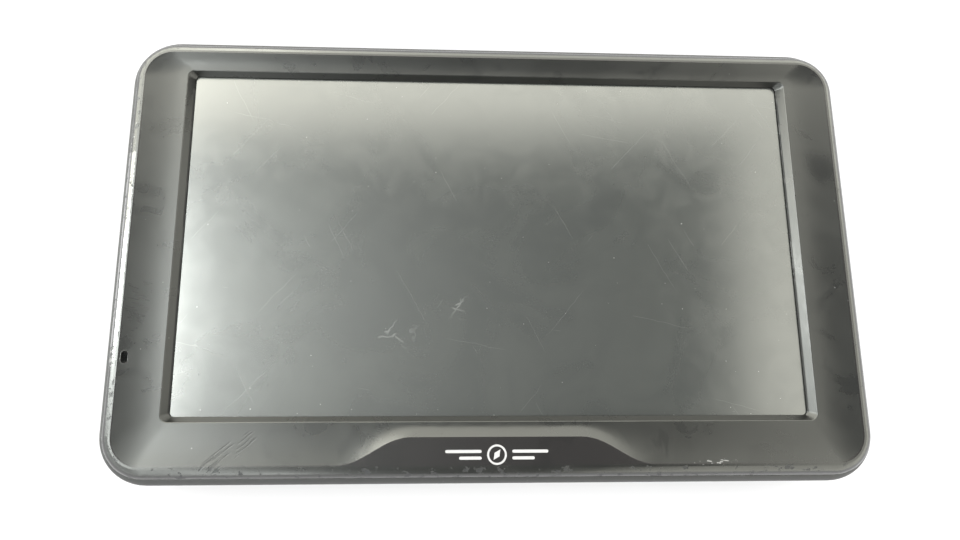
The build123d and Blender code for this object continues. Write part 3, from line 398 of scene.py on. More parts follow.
def bezel_paint():
    """Satin black paint, glossy on the plateau and worn shiny along the left rim, with painted shade at the
    foot of the opening's wall.
    """
    gloss = {"IOR": 1.6, "Coat Roughness": 0.04, "Coat IOR": 1.6}
    material, tree, shader, place = surface("bezel_paint", gloss)
    x, y, z = tree.split(place)
    inset = tree.use(OUTLINE, {
        "Place": place, "Half Length": half_length, "Half Width": half_width,
        "Corner Radius": corner_radius,
    })["Inset"]
    rim = tree.ramp(inset, crest_inset + 0.1, crest_inset - 0.1)
    plateau = tree.times(tree.ramp(z, crest_z - 0.1, crest_z - 0.03), tree.inverse(rim))
    grain = tree.use(GRAIN, {"Place": place, "Grain Size": 0.16})
    smear = tree.use(SMUDGES, {"Place": place, "Size": 16.0})["Patch"]
    dust = tree.use(DUST, {"Place": place, "Spacing": 3.2, "Speck Size": 0.16, "Amount": 0.35})["Mask"]

    ragged_y = tree.plus(y, tree.times(tree.noise(place, 0.8, 4.0, 0.7), 3.0))
    ragged_inset = tree.plus(inset, tree.times(tree.noise(place, 1.6, 3.0, 0.7), 0.9))
    peeled = tree.times(
        rim,
        tree.ramp(x, -80, -81),
        tree.band(ragged_y, peel_low, peel_high, 0.15),
        tree.ramp(ragged_inset, crest_inset + 0.15, crest_inset),
    )
    exposed = tree.most(
        tree.ramp(x, -0.6 * half_length, -half_length),
        tree.ramp(y, -0.85 * half_width, -0.95 * half_width),
        tree.times(tree.ramp(x, 0.9 * half_length, half_length), 0.6),
    )
    knocks = tree.plus(tree.noise(place, 0.45, 5.0, 0.72), tree.times(exposed, 0.1))
    chips = tree.times(rim, tree.band(inset, 2.2, 4.6, 0.4), tree.ramp(knocks, 0.67, 0.7))
    flecks = tree.times(
        tree.use(SPOT, {
            "Place": place, "Centre": (4 - half_length, 0.5 * half_width, 0),
            "Half Length": 1.6, "Half Width": 4.4,
            "Ragged": 0.3, "Tooth": 1.0,
        })["Mask"],
        tree.use(DUST, {"Place": place, "Spacing": 0.9, "Speck Size": 0.34, "Amount": 0.4})["Mask"],
    )
    teeth = tree.times(
        tree.use(SPOT, {
            "Place": place, "Centre": (mic_x - 3, mic_y, 0), "Half Length": 1.2, "Half Width": 2.6,
            "Ragged": 0.3, "Tooth": 1.0,
        })["Mask"],
        tree.ramp(tree.noise(tree.vector("MULTIPLY", place, (0.6, 1.5, 0.6)), 1.0, 2.0, 0.6), 0.46, 0.54),
    )
    rub_zone = spots(tree, place, [(-half_length * 2 / 3, 8 - half_width, 8.6, 2.6, 36, 0.45)])
    rub = tree.times(
        tree.use(SCRATCHES, {
            "Place": place, "Angle": radians(-40), "Length": 11.0, "Pitch": 0.5, "Width": 0.2,
            "Amount": 0.85,
        })["Mask"],
        rub_zone,
    )
    scuff = tree.times(
        spots(tree, place, [(0.55 * half_length, 5.5 - half_width, 4.6, 0.5, 2, 1.2)]),
        tree.use(SCRATCHES, {
            "Place": place, "Angle": radians(6), "Length": 3.0, "Pitch": 0.35, "Width": 0.16, "Amount": 0.8,
        })["Mask"],
    )
    hairs = tree.times(
        tree.use(SCRATCHES, {
            "Place": place, "Angle": radians(14), "Length": 6.0, "Pitch": 0.6, "Width": 0.12, "Amount": 0.9,
        })["Mask"],
        spots(tree, place, [(8 - half_length, -0.2 * half_width, 3.2, 9.0, 0, 0.6)]),
    )
    handled = tree.use(SMUDGES, {"Place": place, "Size": 9.0})["Patch"]
    grease = tree.most(
        tree.times(tree.ramp(handled, 0.62, 0.85), 0.5),
        spots(tree, place, [(half_length - 8, 0.4 * half_width, 5.0, 7.5, 20, 0.45)], soft=0.8),
    )

    # Painted shade: a near-black, rough band low on the screen opening's wall, just above the film, stands
    # in for the shadow in the gap under the lip.
    painted_gap_shade = tree.times(
        tree.ramp(z, film_z + 0.8, film_z + 0.55),
        tree.ramp(inset, opening_inset - 2, opening_inset),
        tree.ramp(y, window_low + 0.3, window_low + 1.2),
    )
    colour = tree.tint(grain["Tone"], (0.010, 0.0102, 0.009), (0.016, 0.0165, 0.0145))
    colour = tree.tint(plateau, colour, (0.0125, 0.0105, 0.0105))
    colour = tree.tint(painted_gap_shade, colour, (0.002, 0.002, 0.0025))
    colour = tree.tint(tree.times(grease, 0.55), colour, (0.006, 0.006, 0.006))
    colour = tree.tint(peeled, colour, (0.03, 0.03, 0.029))
    colour = tree.tint(tree.most(chips, tree.times(rub, 0.8)), colour, (0.004, 0.004, 0.006))
    bright = tree.most(tree.times(scuff, 0.9), tree.times(teeth, 0.8), flecks, tree.times(dust, 0.5))
    colour = tree.tint(bright, colour, (0.42, 0.42, 0.4))

    rough = tree.mix(smear, 0.29, 0.34)
    rough = tree.mix(plateau, rough, 0.27)
    rough = tree.mix(rim, rough, tree.mix(smear, 0.2, 0.27))
    rough = tree.mix(painted_gap_shade, rough, 0.8)
    rough = tree.mix(tree.times(grease, 0.8), rough, 0.22)
    rough = tree.mix(tree.times(hairs, 0.5), rough, 0.22)
    rough = tree.mix(tree.most(peeled, teeth), rough, 0.07)
    rough = tree.mix(tree.most(chips, rub, flecks), rough, 0.5)

    height = tree.plus(
        tree.times(grain["Height"], 0.35, tree.inverse(peeled)),
        tree.times(tree.most(chips, rub, teeth, peeled), -2.2),
        tree.times(hairs, -0.3),
    )
    wire_up(
        tree, shader, Base_Color=colour, Roughness=rough, Normal=tree.bump(height, 0.02 * MM, 0.5),
        Coat_Weight=tree.times(peeled, tree.inverse(chips)),
    )
    return material


def touch_surface():
    """Hazy anti-glare film: fine sparkle, hairline scratches, swipes and dust."""
    material, tree, shader, place = surface("touch_surface", {"IOR": 2.1})
    x, y, _ = tree.split(place)
    sparkle = tree.noise(place, 2.6, 2.0, 0.6)
    smear = tree.use(SMUDGES, {"Place": place, "Size": 26.0})["Patch"]
    fingers = tree.use(SMUDGES, {"Place": place, "Size": 7.0})["Patch"]
    near_bottom = tree.ramp(y, window_low + 3.5, window_low + 0.2)
    near_side = tree.ramp(tree.math("ABSOLUTE", x), window_half - 2.5, window_half)
    settled = tree.most(near_bottom, tree.times(near_side, 0.4))
    fine_dust = tree.use(DUST, {
        "Place": place, "Spacing": 1.3, "Speck Size": 0.12,
        "Amount": tree.plus(0.08, tree.times(settled, 0.7)),
    })["Mask"]
    motes = tree.use(DUST, {"Place": place, "Spacing": 9.0, "Speck Size": 0.2, "Amount": 0.35})["Mask"]
    hairlines = []
    for angle, amount in ((62, 0.06), (-48, 0.05), (12, 0.04)):
        hairlines.append(tree.use(SCRATCHES, {
            "Place": place, "Angle": radians(angle), "Length": 22.0, "Pitch": 2.4,
            "Width": 0.06, "Amount": amount,
        })["Mask"])
    wander = tree.times(tree.noise(place, 0.22, 2.0, 0.5), 5.0)
    wavy = tree.vector("ADD", place, tree.join(wander, tree.times(wander, -0.6), 0.0))
    swipes = []
    for angle in (-62, 24, -16):
        swipes.append(tree.use(SCRATCHES, {
            "Place": wavy, "Angle": radians(angle), "Length": 10.0, "Pitch": 3.0, "Width": 0.3,
            "Amount": 0.3,
        })["Mask"])
    tapped = spots(tree, place, [
        (-window_half / 3, window_low / 2, 10.0, 8.0, 0, 0.5),
        (-window_half / 8, window_low / 3, 6.0, 4.5, 0, 0.5),
    ], soft=2.0)
    marks = tree.most(
        tree.times(tree.most(*hairlines), 0.09),
        tree.times(tree.most(*swipes), tapped, 0.38),
    )
    specks = tree.most(tree.times(fine_dust, 0.45), tree.times(motes, 0.5))

    colour = tree.tint(smear, (0.040, 0.044, 0.040), (0.052, 0.056, 0.050))
    colour = tree.tint(tree.times(sparkle, 0.15), colour, (0.075, 0.078, 0.07))
    colour = tree.tint(marks, colour, (0.55, 0.56, 0.53))
    colour = tree.tint(specks, colour, (0.75, 0.74, 0.7))
    rough = tree.mix(fingers, 0.15, 0.185)
    rough = tree.mix(tree.most(marks, specks), rough, 0.6)
    height = tree.plus(tree.times(specks, 2.0), tree.times(marks, -1.0))
    wire_up(tree, shader, Base_Color=colour, Roughness=rough, Normal=tree.bump(height, 0.004 * MM, 0.35))
    return material


def moulded(name, dark, light, roughness, grain_size, depth, worn=(0.12, 0.12, 0.12)):
    """Textured plastic with rubbed edges, slow tone and a little dust."""
    material, tree, shader, place = surface(name, {"IOR": 1.5})
    grain = tree.use(GRAIN, {"Place": place, "Grain Size": grain_size})
    smear = tree.use(SMUDGES, {"Place": place, "Size": 14.0})["Patch"]
    edges = tree.use(EDGES, {"Place": place, "Break-up": 0.5})["Mask"]
    dust = tree.use(DUST, {"Place": place, "Spacing": 2.6, "Speck Size": 0.14, "Amount": 0.3})["Mask"]
    colour = tree.tint(grain["Tone"], dark, light)
    colour = tree.tint(tree.times(edges, 0.5), colour, worn)
    colour = tree.tint(tree.times(dust, 0.4), colour, (0.4, 0.39, 0.36))
    rough = tree.mix(smear, roughness - 0.06, roughness + 0.06)
    rough = tree.mix(tree.times(edges, 0.6), rough, roughness * 0.6)
    wire_up(
        tree, shader, Base_Color=colour, Roughness=rough,
        Normal=tree.bump(grain["Height"], depth * MM, 0.6),
    )
    return material


def cover_plastic():
    """The rear cover: eroded texture, scuffed where it lies on tables."""
    material, tree, shader, place = surface("cover_plastic", {"IOR": 1.5})
    _, _, z = tree.split(place)
    grain = tree.use(GRAIN, {"Place": place, "Grain Size": 0.32})
    smear = tree.use(SMUDGES, {"Place": place, "Size": 24.0})["Patch"]
    edges = tree.use(EDGES, {"Place": place, "Break-up": 0.5})["Mask"]
    dust = tree.use(DUST, {"Place": place, "Spacing": 2.8, "Speck Size": 0.16, "Amount": 0.35})["Mask"]
    flat_back = tree.ramp(z, 1.2, 0.1)
    scrapes = []
    for angle, length, amount in ((8, 30.0, 0.13), (-31, 18.0, 0.1), (73, 22.0, 0.08)):
        scrapes.append(tree.use(SCRATCHES, {
            "Place": place, "Angle": radians(angle), "Length": length, "Pitch": 1.8,
            "Width": 0.09, "Amount": amount,
        })["Mask"])
    scrape = tree.times(tree.most(*scrapes), tree.mix(flat_back, 0.15, 1.0))
    polish = tree.times(smear, tree.mix(flat_back, 0.3, 1.0))
    colour = tree.tint(grain["Tone"], (0.014, 0.0145, 0.014), (0.024, 0.0245, 0.023))
    colour = tree.tint(tree.times(edges, 0.4), colour, (0.09, 0.09, 0.088))
    colour = tree.tint(tree.times(scrape, 0.3), colour, (0.12, 0.12, 0.118))
    colour = tree.tint(tree.times(dust, 0.4), colour, (0.4, 0.39, 0.36))
    rough = tree.mix(polish, 0.52, 0.4)
    rough = tree.mix(scrape, rough, 0.32)
    height = tree.plus(grain["Height"], tree.times(scrape, -1.2))
    wire_up(tree, shader, Base_Color=colour, Roughness=rough, Normal=tree.bump(height, 0.03 * MM, 0.6))
    return material


def emblem_print():
    """White pad print with worn pinholes."""
    material, tree, shader, place = surface("emblem_print", {"IOR": 1.45})
    pinholes = tree.ramp(tree.noise(place, 3.2, 4.0, 0.75), 0.66, 0.72)
    tone = tree.noise(place, 0.8, 3.0, 0.6)
    colour = tree.tint(tone, (0.58, 0.58, 0.56), (0.68, 0.68, 0.66))
    colour = tree.tint(tree.times(pinholes, 0.7), colour, (0.08, 0.08, 0.08))
    rough = tree.mix(tone, 0.42, 0.55)
    height = tree.noise(place, 12.0, 2.0, 0.6)
    wire_up(tree, shader, Base_Color=colour, Roughness=rough, Normal=tree.bump(height, 0.01 * MM, 0.4))
    return material


def label_film():
    """Blank metallised rating label with a thin printed border."""
    low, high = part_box("rear_label")
    centre = (low + high) / 2 / MM
    material, tree, shader, place = surface("label_film", {"IOR": 1.5})
    local = tree.vector("SUBTRACT", place, tuple(centre))
    inset = tree.use(OUTLINE, {
        "Place": local, "Half Length": (high.x - low.x) / 2 / MM,
        "Half Width": (high.y - low.y) / 2 / MM, "Corner Radius": 1.8,
    })["Inset"]
    border = tree.band(inset, 1.1, 1.35, 0.05)
    fibre = tree.noise(place, 5.0, 4.0, 0.7)
    scuffs = tree.use(SCRATCHES, {
        "Place": place, "Angle": radians(20), "Length": 9.0, "Pitch": 1.4, "Width": 0.06, "Amount": 0.4,
    })["Mask"]
    colour = tree.tint(fibre, (0.045, 0.045, 0.046), (0.06, 0.06, 0.062))
    colour = tree.tint(tree.most(border, tree.times(scuffs, 0.4)), colour, (0.3, 0.3, 0.3))
    rough = tree.mix(fibre, 0.45, 0.58)
    wire_up(tree, shader, Base_Color=colour, Roughness=rough, Normal=tree.bump(fibre, 0.01 * MM, 0.4))
    return material


def metal(name, dark, light, roughness, pitch=0.08, spots_of=None):
    """Sheet or turned metal with streaks, tarnish and rubbed edges."""
    material, tree, shader, place = surface(name, {"Metallic": 1.0})
    streak = tree.use(STREAKS, {"Place": place, "Pitch": pitch})
    edges = tree.use(EDGES, {"Place": place, "Break-up": 0.35})["Mask"]
    colour = tree.tint(streak["Tone"], dark, light)
    if spots_of is not None:
        tarnish = tree.ramp(tree.noise(place, 0.7, 4.0, 0.7), 0.6, 0.72)
        colour = tree.tint(tree.times(tarnish, 0.6), colour, spots_of)
    colour = tree.tint(tree.times(edges, 0.5), colour, tuple(min(1.0, c * 1.3) for c in light))
    rough = tree.mix(streak["Height"], roughness - 0.08, roughness + 0.1)
    wire_up(
        tree, shader, Base_Color=colour, Roughness=rough,
        Normal=tree.bump(streak["Height"], 0.006 * MM, 0.4),
    )
    return material


def soft(name, dark, light, pore, roughness=0.85):
    """Foam or rubber with pores and a bloom."""
    material, tree, shader, place = surface(name, {"IOR": 1.45})
    pores = tree.cells(place, 1 / pore).outputs["Distance"]
    bloom = tree.use(SMUDGES, {"Place": place, "Size": 3.0})["Patch"]
    colour = tree.tint(tree.ramp(pores, 0.1, 0.55), dark, light)
    colour = tree.tint(tree.times(bloom, 0.25), colour, tuple(c * 2 for c in light))
    rough = tree.mix(bloom, roughness - 0.08, roughness)
    wire_up(tree, shader, Base_Color=colour, Roughness=rough, Normal=tree.bump(pores, 0.05 * MM, 0.6))
    return material


def panel_glass():
    """Clear float glass with a faint green body and a few specks."""
    material, tree, shader, place = surface("panel_glass", {"IOR": 1.52, "Transmission Weight": 1.0})
    specks = tree.use(DUST, {"Place": place, "Spacing": 4.0, "Speck Size": 0.1, "Amount": 0.3})["Mask"]
    tone = tree.noise(place, 0.05, 2.0, 0.5)
    colour = tree.tint(tone, (0.93, 0.98, 0.95), (0.98, 1.0, 0.99))
    colour = tree.tint(tree.times(specks, 0.5), colour, (0.7, 0.7, 0.68))
    rough = tree.mix(specks, tree.mix(tone, 0.01, 0.03), 0.5)
    wire_up(tree, shader, Base_Color=colour, Roughness=rough)
    return material


def clear_acrylic():
    """Light guide and diffuser: milky acrylic with a printed dot pattern."""
    material, tree, shader, place = surface("clear_acrylic", {"IOR": 1.49, "Transmission Weight": 0.6})
    dots = tree.ramp(tree.cells(place, 1.1, "F1").outputs["Distance"], 0.34, 0.24)
    tone = tree.noise(place, 0.04, 2.0, 0.5)
    colour = tree.tint(tone, (0.86, 0.88, 0.88), (0.93, 0.94, 0.94))
    colour = tree.tint(tree.times(dots, 0.6), colour, (1.0, 1.0, 1.0))
    rough = tree.mix(dots, tree.mix(tone, 0.08, 0.16), 0.6)
    wire_up(tree, shader, Base_Color=colour, Roughness=rough, Normal=tree.bump(dots, 0.01 * MM, 0.4))
    return material


def display_cell():
    """Liquid-crystal cell: near-black with a fine column-and-row structure."""
    material, tree, shader, place = surface("display_cell", {"IOR": 1.52})
    x, y, _ = tree.split(place)
    rows = tree.math("SINE", tree.times(y, 2 * pi / 0.18))
    columns = tree.math("SINE", tree.times(x, 2 * pi / 0.19))
    lattice = tree.ramp(tree.most(rows, columns), 0.85, 1.0)
    tone = tree.noise(place, 0.05, 3.0, 0.5)
    colour = tree.tint(tone, (0.012, 0.015, 0.013), (0.02, 0.023, 0.02))
    colour = tree.tint(tree.times(lattice, 0.5), colour, (0.05, 0.055, 0.05))
    rough = tree.mix(tone, 0.1, 0.18)
    wire_up(tree, shader, Base_Color=colour, Roughness=rough, Normal=tree.bump(lattice, 0.004 * MM, 0.3))
    return material


def lamp_phosphor():
    """White lamp bodies with yellow phosphor windows."""
    material, tree, shader, place = surface("lamp_phosphor", {"IOR": 1.5})
    grains = tree.noise(place, 8.0, 3.0, 0.7)
    tone = tree.noise(place, 0.6, 2.0, 0.5)
    colour = tree.tint(tone, (0.75, 0.62, 0.12), (0.86, 0.78, 0.4))
    colour = tree.tint(tree.times(grains, 0.3), colour, (0.95, 0.93, 0.8))
    wire_up(
        tree, shader, Base_Color=colour, Roughness=tree.mix(grains, 0.35, 0.55),
        Normal=tree.bump(grains, 0.02 * MM, 0.4),
    )
    return material


def amber_flex():
    """Polyimide film with copper lanes showing through."""
    material, tree, shader, place = surface("amber_flex", {"IOR": 1.6})
    x, _, _ = tree.split(place)
    lanes = tree.ramp(tree.math("SINE", tree.times(x, 2 * pi / 0.5)), -0.1, 0.25)
    tone = tree.noise(place, 0.8, 3.0, 0.6)
    colour = tree.tint(tone, (0.42, 0.17, 0.025), (0.52, 0.25, 0.05))
    colour = tree.tint(tree.times(lanes, 0.7), colour, (0.62, 0.33, 0.1))
    wire_up(
        tree, shader, Base_Color=colour, Roughness=tree.mix(tone, 0.22, 0.34),
        Normal=tree.bump(lanes, 0.015 * MM, 0.5),
    )
    return material


def board_laminate():
    """Green solder mask over copper lanes, with plated pads."""
    material, tree, shader, place = surface("board_laminate", {"IOR": 1.55})
    lane_map = tree.put(
        "ShaderNodeTexVoronoi", {"Vector": place, "Scale": 0.55}, feature="DISTANCE_TO_EDGE"
    ).outputs["Distance"]
    lanes = tree.ramp(lane_map, 0.16, 0.12)
    pads = tree.use(DUST, {"Place": place, "Spacing": 2.4, "Speck Size": 0.7, "Amount": 0.4})["Mask"]
    tone = tree.noise(place, 0.06, 3.0, 0.5)
    colour = tree.tint(tone, (0.008, 0.10, 0.04), (0.015, 0.14, 0.06))
    colour = tree.tint(tree.times(lanes, 0.6), colour, (0.03, 0.26, 0.1))
    colour = tree.tint(pads, colour, (0.75, 0.7, 0.55))
    wire_up(
        tree, shader, Base_Color=colour, Roughness=tree.mix(pads, tree.mix(tone, 0.25, 0.35), 0.3),
        Metallic=pads, Normal=tree.bump(tree.most(lanes, pads), 0.03 * MM, 0.6),
    )
    return material


def dust_cloth():
    """Fine woven mesh behind the grille."""
    material, tree, shader, place = surface("dust_cloth", {"IOR": 1.5, "Sheen Weight": 0.3})
    weave = tree.use(WEAVE, {"Place": place, "Pitch": 0.32})
    colour = tree.tint(weave["Height"], (0.006, 0.006, 0.006), (0.035, 0.035, 0.036))
    colour = tree.tint(tree.times(weave["Tone"], 0.2), colour, (0.08, 0.08, 0.075))
    rough = tree.mix(weave["Tone"], 0.75, 0.92)
    relief = tree.bump(weave["Height"], 0.06 * MM, 0.8)
    wire_up(tree, shader, Base_Color=colour, Roughness=rough, Normal=relief)
    return material


def cone_pulp():
    """Pressed paper pulp with loose fibres."""
    material, tree, shader, place = surface("cone_pulp", {"IOR": 1.45})
    fibres = []
    for angle in (15, 70, -40):
        fibres.append(tree.use(SCRATCHES, {
            "Place": place, "Angle": radians(angle), "Length": 2.2, "Pitch": 0.25, "Width": 0.06,
            "Amount": 0.9,
        })["Mask"])
    mat = tree.most(*fibres)
    tone = tree.noise(place, 0.9, 3.0, 0.6)
    colour = tree.tint(tone, (0.035, 0.034, 0.033), (0.055, 0.053, 0.05))
    colour = tree.tint(tree.times(mat, 0.5), colour, (0.12, 0.115, 0.11))
    wire_up(
        tree, shader, Base_Color=colour, Roughness=tree.mix(tone, 0.75, 0.9),
        Normal=tree.bump(mat, 0.03 * MM, 0.6),
    )
    return material


def glazed(name, dark, light, roughness, scale, depth=0.01):
    """A smooth hard finish with mottling: ceramic, vinyl, epoxy or phosphor bronze."""
    material, tree, shader, place = surface(name, {"IOR": 1.52})
    mottle = tree.noise(place, scale, 4.0, 0.65)
    smear = tree.use(SMUDGES, {"Place": place, "Size": 5.0})["Patch"]
    colour = tree.tint(tree.ramp(mottle, 0.3, 0.7), dark, light)
    rough = tree.mix(smear, roughness - 0.05, roughness + 0.07)
    wire_up(tree, shader, Base_Color=colour, Roughness=rough, Normal=tree.bump(mottle, depth * MM, 0.5))
    return material


def dress(material, *names):
    """Gives CAD nodes a material."""
    for name in names:
        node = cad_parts[name]
        node.data.materials.clear()
        node.data.materials.append(material)


def dress_all():
    """Every carried-over CAD node gets its finish."""
    white = moulded(
        "white_plastic", (0.62, 0.62, 0.59), (0.72, 0.72, 0.7), 0.45, 0.2, 0.01, worn=(0.8, 0.8, 0.78)
    )
    steel = metal("tinned_steel", (0.5, 0.5, 0.49), (0.66, 0.66, 0.65), 0.32, 0.08, (0.3, 0.28, 0.25))
    foam = soft("black_foam", (0.006, 0.006, 0.006), (0.022, 0.022, 0.022), 0.22)
    rubber = soft("black_rubber", (0.012, 0.012, 0.012), (0.024, 0.024, 0.024), 0.08, 0.6)
    epoxy = glazed("chip_epoxy", (0.012, 0.012, 0.014), (0.024, 0.024, 0.026), 0.42, 3.0)
    black = moulded("black_nylon", (0.018, 0.018, 0.018), (0.03, 0.03, 0.03), 0.5, 0.18, 0.015)
    dress(bezel_paint(), "front_bezel")
    dress(cover_plastic(), "rear_cover")
    dress(touch_surface(), "touch_film")
    dress(moulded("insert_plastic", (0.012, 0.012, 0.0125), (0.02, 0.02, 0.021), 0.42, 0.22, 0.02),
          "mount_receiver", "speaker_grille")
    dress(moulded("key_plastic", (0.03, 0.03, 0.031), (0.045, 0.045, 0.047), 0.24, 0.12, 0.005),
          "power_key")
    dress(emblem_print(), "emblem")
    dress(label_film(), "rear_label")
    dress(metal("zinc_steel", (0.2, 0.2, 0.21), (0.34, 0.34, 0.35), 0.3, 0.05, (0.12, 0.11, 0.1)),
          "case_screws", "chassis_screws", "board_screws", "card_spring")
    dress(foam, "screen_gasket", "touch_tape", "battery_pad", "speaker_gasket")
    dress(panel_glass(), "touch_glass")
    dress(amber_flex(), "touch_flex", "panel_flex")
    dress(white, "panel_frame", "battery_plug", "battery_socket", "card_slider")
    dress(display_cell(), "panel_cell")
    dress(clear_acrylic(), "light_guide", "optical_sheet")
    dress(lamp_phosphor(), "lamp_strip")
    dress(steel, "back_plate", "chassis", "processor_shield", "receiver_shield", "usb_shell", "card_socket",
          "speaker_yoke", "speaker_pole_plate")
    dress(board_laminate(), "main_board", "battery_guard")
    dress(epoxy, "processor", "memory_chips", "receiver_chip", "flat_cable_sockets")
    dress(black, "usb_tongue", "switch_body", "speaker_frame")
    dress(glazed("patch_ceramic", (0.45, 0.38, 0.28), (0.58, 0.5, 0.38), 0.5, 2.0, 0.02), "antenna_patch")
    dress(metal("silver_plate", (0.7, 0.69, 0.65), (0.85, 0.84, 0.8), 0.24, 0.06, (0.45, 0.4, 0.3)),
          "antenna_plating")
    dress(metal("bare_aluminium", (0.6, 0.6, 0.6), (0.75, 0.75, 0.75), 0.3, 0.05),
          "board_capacitors", "microphone")
    dress(metal("battery_pouch", (0.5, 0.5, 0.5), (0.62, 0.62, 0.62), 0.42, 0.4), "battery_cell")
    dress(glazed("lead_vinyl", (0.38, 0.015, 0.01), (0.5, 0.03, 0.02), 0.38, 4.0),
          "battery_leads", "speaker_leads", "mic_leads")
    dress(dust_cloth(), "speaker_mesh")
    dress(metal("nickel_plate", (0.5, 0.49, 0.46), (0.62, 0.61, 0.58), 0.18, 0.1), "speaker_magnet")
    dress(cone_pulp(), "speaker_cone")
    dress(rubber, "speaker_surround", "mic_boot")
    dress(metal("coil_copper", (0.55, 0.24, 0.12), (0.7, 0.34, 0.18), 0.3, 0.12), "voice_coil")
    dress(glazed("plunger_plastic", (0.3, 0.04, 0.02), (0.42, 0.07, 0.03), 0.35, 3.0), "switch_plunger")


# ---------------------------------------------------------------- studio
def studio_light():
    """Even white light; in gloss, a window at the left, a bright ceiling edge and a dim middle."""
    world = bpy.data.worlds.new("studio")
    bpy.context.scene.world = world
    world.use_nodes = True
    tree = Tree(world.node_tree)
    x, y, z = tree.split(tree.put("ShaderNodeTexCoord").outputs["Generated"])

    def slope(value, other):
        reach = tree.math("SQRT", tree.plus(tree.times(other, other, 0.2), tree.times(z, z), 0.0004))
        return tree.math("DIVIDE", value, reach)

    side, rise = slope(x, y), slope(y, x)
    offset = tree.math("DIVIDE", tree.math("SUBTRACT", rise, 0.08), 0.2)
    height = tree.math("EXPONENT", tree.times(offset, offset, -1.0))
    window = tree.times(tree.band(side, -0.70, -0.47, 0.05), tree.plus(5.0, tree.times(height, 17.0)))
    lamp = tree.times(tree.ramp(side, -1.1, -1.3), tree.band(rise, 0.0, 0.4, 0.06), 14.0)
    glow = tree.math("EXPONENT", tree.math("DIVIDE", tree.plus(side, 0.35), -0.24))
    glow = tree.times(tree.math("MINIMUM", glow, 1.3), tree.plus(1.9, tree.times(height, 1.4)))
    ceiling = tree.times(tree.ramp(rise, 0.34, 0.48), 4.1)
    right = tree.times(tree.ramp(side, 0.49, 0.56), 3.0)
    level = tree.plus(0.2, window, lamp, glow, tree.most(ceiling, right))
    warm = tree.ramp(tree.most(ceiling, right), 0.2, 2.4)
    colour = tree.tint(warm, (0.955, 1.0, 0.955), (1.0, 1.0, 0.885))
    mirrored = tree.put("ShaderNodeBackground", {"Color": colour, "Strength": level}).outputs[0]
    even = tree.put("ShaderNodeBackground", {"Color": (1.0, 1.0, 1.0), "Strength": 1.55}).outputs[0]
    glossy = tree.put("ShaderNodeLightPath").outputs["Is Glossy Ray"]
    both = tree.put("ShaderNodeMixShader", {0: glossy, 1: even, 2: mirrored}).outputs[0]
    tree.put("ShaderNodeOutputWorld", {"Surface": both})


def floor():
    """Plain pale floor under the navigator."""
    material, tree, shader, place = surface("floor_white", {"Specular IOR Level": 0.0})
    tone = tree.noise(place, 0.004, 2.0, 0.5)
    wire_up(
        tree, shader, Base_Color=tree.tint(tone, (0.9, 0.9, 0.9), (0.93, 0.93, 0.93)),
        Roughness=tree.mix(tone, 0.8, 0.9),
    )
    mesh = bpy.data.meshes.new("floor")
    reach, drop = 3.0, -0.02 * MM
    corners = [(-reach, -reach, drop), (reach, -reach, drop), (reach, reach, drop), (-reach, reach, drop)]
    mesh.from_pydata(corners, [], [(0, 1, 2, 3)])
    mesh.materials.append(material)
    obj = bpy.data.objects.new("floor", mesh)
    bpy.context.scene.collection.objects.link(obj)


def camera():
    """Looks down at the screen from a little below and left of its middle."""
    eye = Vector((-16.45, -28.84, 152.19 + film_z)) * MM
    forward = Vector((0.04139, 0.18061, -0.98268)).normalized()
    right = forward.cross(Vector((0, 1, 0))).normalized()
    up = right.cross(forward)
    turn = Matrix((right, up, -forward)).transposed().to_4x4()
    data = bpy.data.cameras.new("camera")
    data.lens = 22.96
    data.sensor_width = 36.0
    data.shift_x = 0.0277
    data.shift_y = -0.0155
    data.clip_start = 0.01
    obj = bpy.data.objects.new("camera", data)
    obj.matrix_world = Matrix.Translation(eye) @ turn
    bpy.context.scene.collection.objects.link(obj)
    bpy.context.scene.camera = obj


# ---------------------------------------------------------------- repeated pieces
def node_shape(name, inputs):
    """A geometry tree with named inputs: the group, its tree, its inside inputs and its result socket."""
    group = bpy.data.node_groups.new(name, "GeometryNodeTree")
    group.interface.new_socket("Geometry", in_out="INPUT", socket_type="NodeSocketGeometry")
    for label, kind, start in inputs:
        socket = group.interface.new_socket(label, in_out="INPUT", socket_type=kind)
        if start is not None:
            socket.default_value = start
    group.interface.new_socket("Geometry", in_out="OUTPUT", socket_type="NodeSocketGeometry")
    tree = Tree(group)
    inside = tree.put("NodeGroupInput").outputs
    result = tree.put("NodeGroupOutput").inputs[0]
    return group, tree, inside, result


def made(name, group, values, points, body):
    """Runs a geometry tree on the points, keeps its plain mesh, and rides it on a body."""
    base = bpy.data.meshes.new(name + "_points")
    base.from_pydata([Vector(point) * MM for point in points], [], [])
    source = bpy.data.objects.new(name + "_source", base)
    bpy.context.scene.collection.objects.link(source)
    modifier = source.modifiers.new("shape", "NODES")
    modifier.node_group = group
    for item in group.interface.items_tree:
        if item.in_out == "INPUT" and item.name in values:
            modifier[item.identifier] = values[item.name]
    depsgraph = bpy.context.evaluated_depsgraph_get()
    mesh = bpy.data.meshes.new_from_object(source.evaluated_get(depsgraph))
    source.modifiers.remove(modifier)
    bpy.data.objects.remove(source)
    piece = bpy.data.objects.new(name, mesh)
    mesh.name = name
    bpy.context.scene.collection.objects.link(piece)
    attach(piece, body)
    return piece


def curve_of(tree, value, points):
    """A straight-line function of value through (share, level) points."""
    node = tree.put("ShaderNodeFloatCurve", {"Value": value})
    mapping = node.mapping
    mapping.use_clip = False
    curve = mapping.curves[0]
    while len(curve.points) < len(points):
        curve.points.new(0.5, 0.5)
    for knot, (share, level) in zip(curve.points, points):
        knot.location = (share, level)
        knot.handle_type = "VECTOR"
    mapping.update()
    return node.outputs[0]


